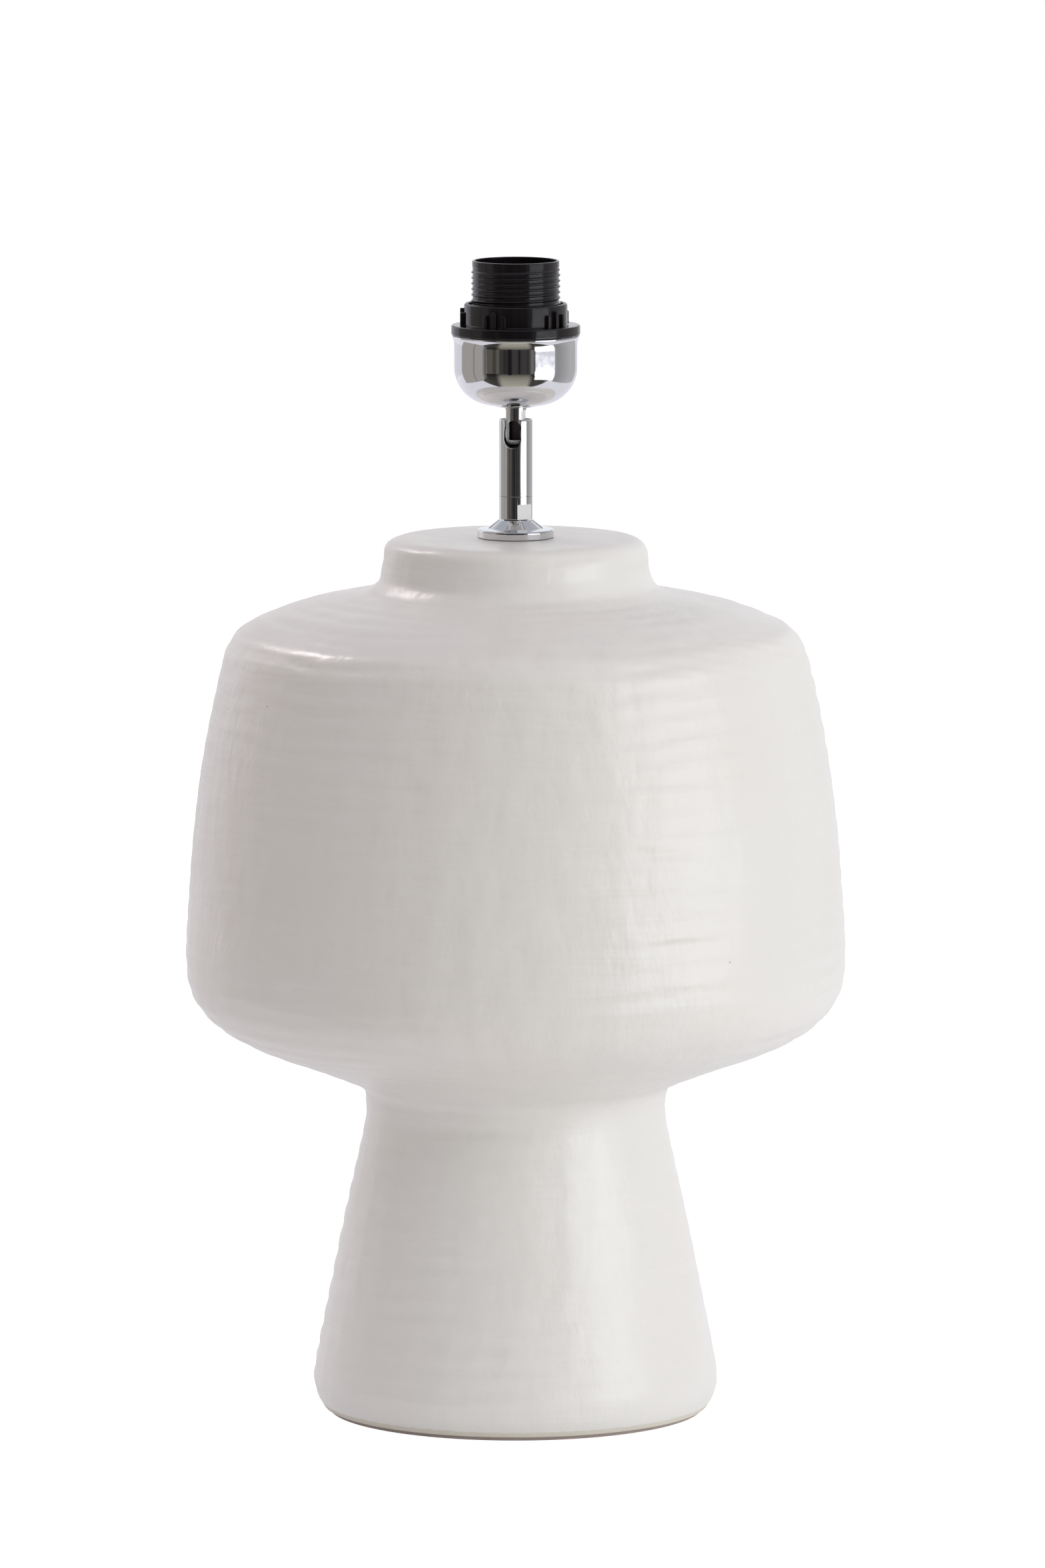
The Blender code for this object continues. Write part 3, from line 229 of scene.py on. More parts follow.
BASE_FLAT_MARGIN = 0.0033
BASE_FLAT_CORNER = 0.0009
BASE_FLAT_TOLERANCE = 0.00003
BASE_FLAT_TURN = radians(36)
NIPPLE_ENGAGEMENT = 0.0066
RETAINER_RISE = 0.0100
RETAINER_HALF = 0.0008
RETAINER_BITE = 0.0008
SPIGOT_RADIUS = 0.0057
SPIGOT_TOP = 0.0179
PIN_RISE = 0.0040
PIN_RADIUS = 0.00075

# Cup
CUP_RADIUS = 0.0274
CUP_SHEET = 0.0009
CUP_BOSS_RADIUS = 0.0092
CUP_BOSS_DEPTH = 0.0006
CUP_BOSS_EDGE = 0.0008
CUP_BOSS_RUN = 0.002
CUP_BOWL_HEIGHT = 0.0175
CUP_FLARE = 0.0010
CUP_FLARE_HEIGHT = 0.0039
CUP_LIP_HEIGHT = 0.0006
CUP_UPRIGHT_SHARES = (0.1, 0.5, 0.9)
CUP_AROUND = 192
BOWL_STEPS = 40
BOSS_OVERLAP = 3             # steps of the bowl that the boss takes up
FLARE_STEPS = 12

# Lampholder skirt and shade ring
SKIRT_ROOT_RADIUS = 0.01925
SKIRT_CREST_RADIUS = 0.0199
SKIRT_BAND_RADIUS = 0.0194
SKIRT_BAND_HEIGHT = 0.0030
SKIRT_RIM_EDGE = 0.00035
SKIRT_BORE_RADIUS = 0.0182
SKIRT_PITCH = 0.0025
SKIRT_THREAD_CREST = 0.00022
SKIRT_THREAD_BASE = 0.00150
SKIRT_THREAD_TURN = radians(-20)
SKIRT_THREAD_START = 0.0004
SOCKET_RADIUS = 0.01345
SOCKET_CREST_RADIUS = 0.01245
SOCKET_PITCH = 0.003629
SOCKET_THREAD_CREST = 0.0012
SOCKET_THREAD_BASE = 0.0034
SOCKET_THREAD_DROP = 0.0009
SOCKET_OUTER_RADIUS = 0.0152
SOCKET_MOUTH_DROP = 0.0125
SOCKET_WEB = 0.0020
SHADE_RING_RADIUS = 0.0287
SHADE_RING_THICKNESS = 0.0045
SHADE_BORE_RADIUS = 0.0202
SHADE_COLLAR_RADIUS = 0.0230
SHADE_COLLAR_HEIGHT = 0.0094
SHADE_RELIEF = 0.0010
SHADE_THREAD_HEIGHT = 0.0055
SHADE_THREAD_ROOT = 0.0203
SHADE_THREAD_TOP = 0.01998
SHADE_THREAD_CREST = 0.0004
SHADE_THREAD_BASE = 0.0010
SHADE_RING_EDGE = 0.0007
SHADE_RING_SLOPE = 0.0002
SHADE_COLLAR_EDGE = 0.0009
RIB_GROUPS = 5
RIBS_IN_GROUP = 3
RIB_GROUP_TURN = radians(-23.5)
RIB_SPACING = radians(10.7)
RIB_WIDTH = 0.0018
RIB_PROUD = 0.0018
RIB_HEIGHT = 0.0071
RIB_SIDE_DROP = 0.0016
RIB_ROOT = 0.0020            # how far a rib goes down into the flange
RIB_BITE = 0.0010            # and into the collar
RIB_EDGE = 0.00035
RIB_CORNER_TURN = 1.0        # radians; all its corners turn more, and its arch less

# Camera and studio
CAMERA_PLACE = (0.003, -5.303, 0.9818)
CAMERA_AIM = (0.003, 0.0, 0.2818)
CAMERA_LENS = 275.4
CAMERA_SENSOR = 36.0
CAMERA_REACH = 50.0
ROOM_RADIUS = 1.5


# Places read off the solids

def low_of(node):
    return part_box(node)[0][2]


def high_of(node):
    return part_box(node)[1][2]


def body_of(node):
    for body, members in frame["record"]["behaviour"]["bodies"].items():
        if node in members:
            return body


BODY_BOTTOM = low_of("ceramic_body")
CANOPY_BOTTOM = low_of("canopy_flange")
SEAM = low_of("swivel_base") + BASE_LENGTH
BARREL_TOP = high_of("swivel_barrel")
BALL_CENTRE = BARREL_TOP - BALL_DEPTH
STEM_TOP = high_of("tilt_stem")
CUP_BOTTOM = low_of("lampholder_cup")
CUP_TOP = high_of("lampholder_cup")
SKIRT_BOTTOM = low_of("threaded_skirt")
SKIRT_TOP = high_of("threaded_skirt")
RING_BOTTOM = low_of("shade_ring")
BLOCK_TOP = high_of("contact_block")


# Node trees

SOCKETS = {bool: "NodeSocketBool", int: "NodeSocketInt", float: "NodeSocketFloat"}


def new_tree(name, kind, inputs, outputs):
    """A node tree with named sockets, and the sockets of its two ends."""
    tree = bpy.data.node_groups.new(name, kind)
    for way, sockets in (("INPUT", inputs), ("OUTPUT", outputs)):
        for title, default in sockets.items():
            if isinstance(default, str):
                tree.interface.new_socket(title, in_out=way, socket_type="NodeSocket" + default)
                continue
            kind_of = SOCKETS.get(type(default), "NodeSocketVector")
            socket = tree.interface.new_socket(title, in_out=way, socket_type=kind_of)
            socket.default_value = default
    return tree, tree.nodes.new("NodeGroupInput").outputs, tree.nodes.new("NodeGroupOutput").inputs


def add(tree, kind, inputs=(), **settings):
    """A node with its settings, and each input linked or set."""
    node = tree.nodes.new(kind)
    for name, value in settings.items():
        setattr(node, name, value)
    for place, value in dict(inputs).items():
        if isinstance(value, bpy.types.NodeSocket):
            tree.links.new(value, node.inputs[place])
        else:
            node.inputs[place].default_value = value
    return node


def number(tree, operation, *values):
    return add(tree, "ShaderNodeMath", enumerate(values), operation=operation).outputs[0]


def vector(tree, operation, *values):
    return add(tree, "ShaderNodeVectorMath", enumerate(values), operation=operation).outputs[0]


def product(tree, first, *others):
    for other in others:
        first = number(tree, "MULTIPLY", first, other)
    return first


def scaled(tree, value, factor):
    inputs = {0: value, "Scale": factor}
    return add(tree, "ShaderNodeVectorMath", inputs, operation="SCALE").outputs[0]


def length_of(tree, value):
    return add(tree, "ShaderNodeVectorMath", {0: value}, operation="LENGTH").outputs["Value"]


def reach_along(tree, value, direction):
    """How far a place lies along a direction."""
    inputs = {0: value, 1: direction}
    return add(tree, "ShaderNodeVectorMath", inputs, operation="DOT_PRODUCT").outputs["Value"]


def separated(tree, value):
    return add(tree, "ShaderNodeSeparateXYZ", {0: value}).outputs


def combined(tree, **parts):
    inputs = {part.upper(): value for part, value in parts.items()}
    return add(tree, "ShaderNodeCombineXYZ", inputs).outputs[0]


def object_place(tree):
    return add(tree, "ShaderNodeTexCoord").outputs["Object"]


def live(sockets):
    """The sockets that a node's settings leave in use."""
    return [socket for socket in sockets if socket.enabled]


def ramp(tree, value, start, end, low=0.0, high=1.0, smooth=True):
    """A value carried from one range to another, clamped at both ends."""
    kind = "SMOOTHSTEP" if smooth else "LINEAR"
    return add(tree, "ShaderNodeMapRange", {0: value, 1: start, 2: end, 3: low, 4: high},
               interpolation_type=kind).outputs[0]


def noise(tree, place, scale, detail=2.0, roughness=0.5, seed=None):
    inputs = {"Vector": place, "Scale": scale, "Detail": detail, "Roughness": roughness}
    if seed is None:
        return add(tree, "ShaderNodeTexNoise", inputs).outputs[0]
    inputs["W"] = seed
    return add(tree, "ShaderNodeTexNoise", inputs, noise_dimensions="4D").outputs[0]


def stored(tree, name):
    """A value that the outline's points carry."""
    node = add(tree, "GeometryNodeInputNamedAttribute", {"Name": name}, data_type="FLOAT")
    return live(node.outputs)[0]


def turned_outline_tree():
    """Turns an outline about Z. Its threaded stretches climb by their rise in a turn."""
    tree, given, result = new_tree(
        "turned_outline", "GeometryNodeTree",
        {"Outline": "Geometry", "Around": 96, "Closed": True}, {"Surface": "Geometry"})
    outline = given["Outline"]
    size = add(tree, "GeometryNodeAttributeDomainSize", {0: outline}, component="MESH")
    count = size.outputs["Point Count"]
    rows = number(tree, "ADD", count, given["Closed"])
    columns = number(tree, "ADD", given["Around"], 1.0)
    grid = add(tree, "GeometryNodeMeshGrid", {"Vertices X": columns, "Vertices Y": rows})
    index = add(tree, "GeometryNodeInputIndex").outputs[0]
    column = number(tree, "FLOOR", number(tree, "DIVIDE", index, rows))
    row = number(tree, "SUBTRACT", index, number(tree, "MULTIPLY", column, rows))
    place = number(tree, "MODULO", row, count)
    turn = number(tree, "DIVIDE", column, given["Around"])

    def sampled(kind, value):
        node = add(tree, "GeometryNodeSampleIndex", {"Geometry": outline, "Index": place},
                   data_type=kind, domain="POINT")
        socket = [s for s in live(node.inputs) if s.name == "Value"][0]
        tree.links.new(value, socket)
        return live(node.outputs)[0]

    def carried(name):
        return sampled("FLOAT", stored(tree, name))

    position = sampled("FLOAT_VECTOR", add(tree, "GeometryNodeInputPosition").outputs[0])
    parts = separated(tree, position)
    rise, low, high, root = (carried(name) for name in ("rise", "low", "high", "root"))
    climbed = number(tree, "MULTIPLY_ADD", rise, turn, parts[2])
    height = number(tree, "MINIMUM", number(tree, "MAXIMUM", climbed, low), high)
    run_out = number(tree, "MULTIPLY", rise, RUN_OUT_SHARE)
    begun = number(tree, "DIVIDE", number(tree, "SUBTRACT", height, low), run_out)
    ended = number(tree, "DIVIDE", number(tree, "SUBTRACT", high, height), run_out)
    full = product(tree, ramp(tree, begun, 0.0, 1.0), ramp(tree, ended, 0.0, 1.0))
    depth = number(tree, "SUBTRACT", parts[0], root)
    radius = number(tree, "MULTIPLY_ADD", depth, full, root)
    angle = number(tree, "MULTIPLY", turn, FULL_TURN)
    across = product(tree, radius, number(tree, "COSINE", angle))
    deep = product(tree, radius, number(tree, "SINE", angle))
    spot = combined(tree, x=across, y=deep, z=height)
    surface = add(tree, "GeometryNodeSetPosition",
                  {"Geometry": grid.outputs["Mesh"], "Position": spot}).outputs[0]
    for name in ("along", "relief"):
        surface = add(tree, "GeometryNodeStoreNamedAttribute",
                      {"Geometry": surface, "Name": name, "Value": carried(name)},
                      data_type="FLOAT", domain="POINT").outputs[0]
    merged = add(tree, "GeometryNodeMergeByDistance",
                 {"Geometry": surface, "Distance": MERGE_DISTANCE})
    tree.links.new(merged.outputs[0], result["Surface"])
    return tree


def end_tree(tree, surface, material, result):
    """Closes a tree as the export needs: real geometry, with its material set."""
    for name in ("along", "relief"):
        surface = add(tree, "GeometryNodeRemoveAttribute",
                      {"Geometry": surface, "Name": name}).outputs[0]
    real = add(tree, "GeometryNodeRealizeInstances", {"Geometry": surface}).outputs[0]
    done = add(tree, "GeometryNodeSetMaterial", {"Geometry": real, "Material": material}).outputs[0]
    tree.links.new(done, result[0])


def turned_piece_tree(turned_outline):
    tree, given, result = new_tree(
        "turned_piece", "GeometryNodeTree",
        {"Outline": "Geometry", "Around": 96, "Closed": True, "Material": "Material"},
        {"Piece": "Geometry"})
    group = add(tree, "GeometryNodeGroup", node_tree=turned_outline)
    for name in ("Outline", "Around", "Closed"):
        tree.links.new(given[name], group.inputs[name])
    end_tree(tree, group.outputs[0], given["Material"], result)
    return tree


def thrown_body_tree(turned_outline):
    """The turned body with throwing rings, soft bumps and ripples in its outer wall."""
    tree, given, result = new_tree(
        "thrown_body", "GeometryNodeTree",
        {"Outline": "Geometry", "Around": 96, "Ring Pitch": 0.01, "Ring Depth": 0.0003,
         "Bump Size": 0.03, "Bump Depth": 0.0003, "Ripple Pitch": 0.006, "Ripple Depth": 0.0004,
         "Ripple Turn": 0.9, "Ripple Count": 34.0, "Seed": 0.0, "Material": "Material"},
        {"Piece": "Geometry"})
    group = add(tree, "GeometryNodeGroup", {"Outline": given["Outline"], "Around": given["Around"]},
                node_tree=turned_outline)
    position = add(tree, "GeometryNodeInputPosition").outputs[0]
    parts = separated(tree, position)
    seed, run = given["Seed"], stored(tree, "along")
    share = number(tree, "DIVIDE", number(tree, "ARCTAN2", parts[1], parts[0]), FULL_TURN)
    waver = product(tree, noise(tree, position, RING_WAVER_SCALE, 1.0, seed=seed), RING_WAVER)
    rounds = number(tree, "SUBTRACT", number(tree, "DIVIDE", run, given["Ring Pitch"]), share)
    wave = number(tree, "SINE", product(tree, number(tree, "ADD", rounds, waver), FULL_TURN))
    hollow = number(tree, "POWER", ramp(tree, wave, 1.0, -1.0), RING_SHARPNESS)
    crest = number(tree, "SUBTRACT", 1.0, hollow)
    strength = ramp(tree, noise(tree, position, RING_PATCH_SCALE, 1.0, seed=seed), *RING_PATCHES)
    rings = product(tree, crest, strength, given["Ring Depth"])

    grain = number(tree, "DIVIDE", 1.0, given["Bump Size"])
    lumps = number(tree, "SUBTRACT", noise(tree, position, grain, 1.0, seed=seed), 0.5)
    bumps = product(tree, lumps, 2.0, given["Bump Depth"])

    slant = product(tree, share, given["Ripple Count"])
    climb = number(tree, "ADD", number(tree, "DIVIDE", run, given["Ripple Pitch"]), slant)
    loose = number(tree, "MULTIPLY_ADD", waver, RIPPLE_LOOSENESS, climb)
    streak = number(tree, "SINE", product(tree, loose, FULL_TURN))
    middle = number(tree, "DIVIDE", given["Ripple Turn"], FULL_TURN)
    middle = number(tree, "SUBTRACT", middle, FRONT_SHARE)
    away = number(tree, "ABSOLUTE", number(tree, "SUBTRACT", share, middle))
    lowest = ramp(tree, parts[2], SHOULDER_LOW, SHOULDER_LOW + RIPPLE_FADE_BELOW)
    highest = ramp(tree, parts[2], SHOULDER_HIGH, SHOULDER_HIGH - RIPPLE_FADE_ABOVE)
    patch = product(tree, ramp(tree, away, *RIPPLE_REACH), lowest, highest)
    ripples = product(tree, streak, patch, given["Ripple Depth"])

    total = number(tree, "ADD", number(tree, "ADD", rings, bumps), ripples)
    clear = length_of(tree, vector(tree, "SUBTRACT", position, CORD_HOLE_MOUTH))
    shown = ramp(tree, clear, RELIEF_FADE, 3 * RELIEF_FADE)
    kept = product(tree, stored(tree, "relief"), shown)
    normal = add(tree, "GeometryNodeInputNormal").outputs[0]
    offset = scaled(tree, normal, product(tree, total, kept))
    relief = add(tree, "GeometryNodeSetPosition", {"Geometry": group.outputs[0], "Offset": offset})
    end_tree(tree, relief.outputs[0], given["Material"], result)
    return tree


def grip_ribs_tree():
    """Groups of ribs around Z, the outer ones of each group let down a little."""
    tree, given, result = new_tree(
        "grip_ribs", "GeometryNodeTree",
        {"Rib": "Geometry", "Groups": 5, "Ribs": 3, "Turn": 0.0, "Spacing": 0.2, "Side Drop": 0.001,
         "Material": "Material"}, {"Ribs": "Geometry"})
    count = product(tree, given["Groups"], given["Ribs"])
    index = add(tree, "GeometryNodeInputIndex").outputs[0]
    group = number(tree, "FLOOR", number(tree, "DIVIDE", index, given["Ribs"]))
    place = number(tree, "MODULO", index, given["Ribs"])
    middle = number(tree, "DIVIDE", number(tree, "SUBTRACT", given["Ribs"], 1.0), 2.0)
    aside = number(tree, "SUBTRACT", place, middle)
    share = number(tree, "DIVIDE", FULL_TURN, given["Groups"])
    around = number(tree, "MULTIPLY_ADD", group, share, given["Turn"])
    angle = number(tree, "MULTIPLY_ADD", aside, given["Spacing"], around)
    drop = product(tree, number(tree, "ABSOLUTE", aside), given["Side Drop"])
    spot = combined(tree, z=product(tree, drop, -1.0))
    points = add(tree, "GeometryNodePoints", {"Count": count, "Position": spot}).outputs[0]
    turn = combined(tree, z=angle)
    ribs = add(tree, "GeometryNodeInstanceOnPoints",
               {"Points": points, "Instance": given["Rib"], "Rotation": turn}).outputs[0]
    end_tree(tree, ribs, given["Material"], result)
    return tree


# Outlines, as lists of (radius, height)

def arc(radius_centre, height_centre, radius, start, end, steps, height_radius=None):
    rise = radius if height_radius is None else height_radius
    points = []
    for step in range(steps + 1):
        angle = start + (end - start) * step / steps
        points.append((radius_centre + radius * cos(angle), height_centre + rise * sin(angle)))
    return points


def rounded(corners, steps=FILLET_STEPS):
    """A closed outline of corners (radius, height) or (radius, height, fillet)."""
    points = []
    count = len(corners)
    for i, corner in enumerate(corners):
        here = Vector(corner[:2])
        fillet = corner[2] if len(corner) > 2 else 0
        if not fillet:
            points.append(tuple(here))
            continue
        back = (Vector(corners[i - 1][:2]) - here).normalized()
        ahead = (Vector(corners[(i + 1) % count][:2]) - here).normalized()
        half = back.angle(ahead) / 2
        reach = fillet / tan(half)
        centre = here + (back + ahead).normalized() * fillet / sin(half)
        start = here + back * reach - centre
        turn = start.angle_signed(here + ahead * reach - centre)
        points.append(tuple(here + back * (reach + fillet / 2)))
        for step in range(steps + 1):
            angle = -turn * step / steps
            points.append((centre.x + start.x * cos(angle) - start.y * sin(angle),
                           centre.y + start.x * sin(angle) + start.y * cos(angle)))
        points.append(tuple(here + ahead * (reach + fillet / 2)))
    return points


def stretch(start, end, shares):
    """Stations between two points, placed by their shares of the way."""
    (r0, z0), (r1, z1) = start, end
    return [(r0 + (r1 - r0) * across, z0 + (z1 - z0) * up) for across, up in shares]


def smooth_curve(stations, longest):
    """A Catmull-Rom curve through the stations, in runs no longer than the one given."""
    points = []
    last = len(stations) - 1
    for i in range(last):
        before = Vector(stations[max(i - 1, 0)])
        start = Vector(stations[i])
        end = Vector(stations[i + 1])
        after = Vector(stations[min(i + 2, last)])
        steps = ceil((end - start).length / longest)
        for step in range(steps):
            t = step / steps
            point = (
                start * 2 + (end - before) * t
                + (before * 2 - start * 5 + end * 4 - after) * t ** 2
                + (start * 3 - before - end * 3 + after) * t ** 3) / 2
            points.append(tuple(point))
    points.append(stations[-1])
    return points


def moved_inwards(stations, distance):
    moved = []
    last = len(stations) - 1
    for i, (r, z) in enumerate(stations):
        before = Vector(stations[max(i - 1, 0)])
        after = Vector(stations[min(i + 1, last)])
        way = (after - before).normalized()
        moved.append((r - way.y * distance, z + way.x * distance))
    return moved


def screw_thread(root, crest, pitch, low, high, crest_width, base_width):
    """The side outline of a thread, from a turn below its start, with what its climb needs."""
    edge = 0.5 * crest_width / base_width
    side = [(edge + (0.5 - edge) * t, CREST_SHARE * (1 - t * t * (3 - 2 * t)))
            for t in FLANK_SHARES]
    side.append((THREAD_FOOT_SHARE, 0.0))
    shape = [(-aside, up) for aside, up in reversed(side)] + [(0.0, 1.0)] + side
    points = []
    ridge = low - 2 * pitch
    while ridge < high + pitch:
        for aside, up in shape:
            height = ridge + aside * base_width
            if low - pitch <= height <= high:
                points.append((root + (crest - root) * up, height, pitch, low, high, root))
        ridge += pitch
    start = (root, low - pitch, pitch, low, high, root)
    end = (root, high, pitch, low, high, root)
    return [start] + points + [end]


# Solids

def outline_thing(name, outline):
    """The outline as loose points for a tree, with the threads' values on them."""
    mesh = bpy.data.meshes.new(name)
    mesh.from_pydata([(point[0], 0, point[1]) for point in outline], [], [])
    plain = (0.0, -1.0, 1.0)
    values = [tuple(point[2:6]) if len(point) >= 6 else plain + (point[0],) for point in outline]
    for place, title in enumerate(("rise", "low", "high", "root")):
        attribute = mesh.attributes.new(title, "FLOAT", "POINT")
        attribute.data.foreach_set("value", [value[place] for value in values])
    thing = bpy.data.objects.new(name, mesh)
    bpy.context.scene.collection.objects.link(thing)
    return thing


def set_inputs(modifier, values):
    for item in modifier.node_group.interface.items_tree:
        if item.item_type == "SOCKET" and item.in_out == "INPUT" and item.name in values:
            modifier[item.identifier] = values[item.name]


def run_tree(thing, tree, **values):
    """Puts a tree on a thing and keeps its result as a plain mesh."""
    modifier = thing.modifiers.new(tree.name, "NODES")
    modifier.node_group = tree
    set_inputs(modifier, {name.replace("_", " "): value for name, value in values.items()})
    return applied(thing)


def applied(thing):
    graph = bpy.context.evaluated_depsgraph_get()
    graph.update()
    mesh = bpy.data.meshes.new_from_object(thing.evaluated_get(graph))
    thing.modifiers.clear()
    old = thing.data
    thing.data = mesh
    bpy.data.meshes.remove(old)
    mesh.name = thing.name
    return thing


def facing_out(thing):
    """Turns a closed mesh's faces outwards, and smooths all but its sharp edges."""
    bm = bmesh.new()
    bm.from_mesh(thing.data)
    bmesh.ops.recalc_face_normals(bm, faces=bm.faces)
    if bm.calc_volume(signed=True) < 0:
        bmesh.ops.reverse_faces(bm, faces=bm.faces)
    bm.to_mesh(thing.data)
    bm.free()
    thing.data.shade_smooth()
    thing.data.set_sharp_from_angle(angle=SHARP_ANGLE)
    return thing


def turned_piece(name, outline, material, around=CHROME_AROUND, closed=True):
    thing = outline_thing(name, outline)
    run_tree(thing, TREES["turned_piece"], Around=around, Closed=closed, Material=material)
    return facing_out(thing)


def extruded(points, way):
    """A flat outline of points in space, drawn out along a vector."""
    bm = bmesh.new()
    face = bm.faces.new([bm.verts.new(point) for point in points])
    drawn = bmesh.ops.extrude_face_region(bm, geom=[face])
    top = [item for item in drawn["geom"] if isinstance(item, bmesh.types.BMVert)]
    bmesh.ops.translate(bm, vec=way, verts=top)
    bmesh.ops.recalc_face_normals(bm, faces=bm.faces)
    return bm


def cylinder(radius, low, high, sides=48):
    ring = [(radius * cos(FULL_TURN * i / sides), radius * sin(FULL_TURN * i / sides), low)
            for i in range(sides)]
    return extruded(ring, (0, 0, high - low))


def box(low, high):
    (x0, y0, z0), (x1, y1, z1) = low, high
    return extruded([(x0, y0, z0), (x1, y0, z0), (x1, y1, z0), (x0, y1, z0)], (0, 0, z1 - z0))


def transformed(bm, matrix):
    bmesh.ops.transform(bm, matrix=matrix, verts=bm.verts)
    return bm


def from_bmesh(name, bm, material=None):
    mesh = bpy.data.meshes.new(name)
    bm.to_mesh(mesh)
    bm.free()
    if material is not None:
        mesh.materials.append(material)
    thing = bpy.data.objects.new(name, mesh)
    bpy.context.scene.collection.objects.link(thing)
    return thing


def combine(thing, tool, operation="DIFFERENCE", solver="EXACT"):
    """Cuts a tool from the thing, or joins it on, and keeps a plain mesh."""
    if not isinstance(tool, bpy.types.Object):
        tool = from_bmesh(thing.name + "_tool", tool)
    modifier = thing.modifiers.new(operation.lower(), "BOOLEAN")
    modifier.operation = operation
    modifier.solver = solver
    modifier.object = tool
    applied(thing)
    bpy.data.objects.remove(tool)
    return facing_out(thing)


def placed(thing, matrix):
    thing.data.transform(matrix)
    return thing


def dress(thing, node, *more):
    """Lets a piece stand for its nodes: on their body, with the nodes hidden."""
    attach(thing, body_of(node))
    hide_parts(node, *more)
    return thing


# Finishes

NOISE_SPREAD = (0.3, 0.7)    # where nearly all of a noise lies


def patches_group():
    """Soft patches of the surface, as a value between two limits."""
    tree, given, result = new_tree(
        "soft_patches", "ShaderNodeTree",
        {"Scale": 20.0, "Detail": 3.0, "Low": 0.0, "High": 1.0}, {"Value": 0.0})
    field = noise(tree, object_place(tree), given["Scale"], given["Detail"])
    value = ramp(tree, field, *NOISE_SPREAD, given["Low"], given["High"])
    tree.links.new(value, result["Value"])
    return tree


def grain_group():
    """Fine grain of a moulded, cast or glazed surface, as a height."""
    tree, given, result = new_tree(
        "fine_grain", "ShaderNodeTree", {"Scale": 900.0, "Roughness": 0.6}, {"Height": 0.0})
    field = noise(tree, object_place(tree), given["Scale"], 3.0, given["Roughness"])
    tree.links.new(field, result["Height"])
    return tree


def tool_lines_group():
    """Fine lines that a tool leaves across one direction, as a height from 0 to 1."""
    tree, given, result = new_tree(
        "tool_lines", "ShaderNodeTree",
        {"Direction": (0.0, 0.0, 1.0), "Scale": 3000.0, "Stretch": 30.0}, {"Height": 0.0})
    place, way, stretch = object_place(tree), given["Direction"], given["Stretch"]
    lines = scaled(tree, way, reach_along(tree, place, way))
    rest = vector(tree, "SUBTRACT", place, lines)
    squeezed = vector(tree, "DIVIDE", rest, combined(tree, x=stretch, y=stretch, z=stretch))
    field = noise(tree, vector(tree, "ADD", lines, squeezed), given["Scale"])
    tree.links.new(field, result["Height"])
    return tree


def specks_group():
    """Rare round specks, as a mask."""
    tree, given, result = new_tree(
        "rare_specks", "ShaderNodeTree",
        {"Scale": 100.0, "Size": 0.05, "Share": 0.1}, {"Mask": 0.0})
    cells = add(tree, "ShaderNodeTexVoronoi",
                {"Vector": object_place(tree), "Scale": given["Scale"]}).outputs
    dot = ramp(tree, cells["Distance"], given["Size"], product(tree, given["Size"], 0.5))
    lot = add(tree, "ShaderNodeSeparateColor", {0: cells["Color"]}).outputs[0]
    chosen = number(tree, "LESS_THAN", lot, given["Share"])
    tree.links.new(product(tree, dot, chosen), result["Mask"])
    return tree


def finish(name, colour, roughness, metallic=0.0, **constants):
    """A new material, with the constants set on its Principled shader's own sockets."""
    material = bpy.data.materials.new(name)
    material.use_nodes = True
    tree = material.node_tree
    shader = tree.nodes["Principled BSDF"]
    shader.inputs["Base Color"].default_value = (*colour, 1.0)
    shader.inputs["Roughness"].default_value = roughness
    shader.inputs["Metallic"].default_value = metallic
    for title, value in constants.items():
        shader.inputs[title.replace("_", " ")].default_value = value
    material.diffuse_color = (*colour, 1.0)
    return material, tree, shader


def effect(tree, name, **values):
    """One of the shared effects, with its own values."""
    return add(tree, "ShaderNodeGroup", values, node_tree=EFFECTS[name]).outputs[0]


def patches(tree, scale, detail, low=0.0, high=1.0):
    return effect(tree, "soft_patches", Scale=scale, Detail=detail, Low=low, High=high)


def grain(tree, scale, roughness):
    return effect(tree, "fine_grain", Scale=scale, Roughness=roughness)


def tool_lines(tree, direction, scale, stretch):
    return effect(tree, "tool_lines", Direction=direction, Scale=scale, Stretch=stretch)


def mixed(tree, share, first, second):
    node = add(tree, "ShaderNodeMix", {0: share}, data_type="RGBA")
    colours = [socket for socket in live(node.inputs) if socket.type == "RGBA"]
    for socket, value in zip(colours, (first, second)):
        if isinstance(value, bpy.types.NodeSocket):
            tree.links.new(value, socket)
        else:
            socket.default_value = (*value, 1.0)
    return live(node.outputs)[0]


def feed(tree, shader, **values):
    """Links values to a shader's sockets."""
    for title, value in values.items():
        tree.links.new(value, shader.inputs[title.replace("_", " ")])


def bump(tree, shader, height, distance, normal=None):
    inputs = {"Height": height, "Distance": distance}
    if normal is not None:
        inputs["Normal"] = normal
    bumped = add(tree, "ShaderNodeBump", inputs).outputs[0]
    feed(tree, shader, Normal=bumped)
    return bumped


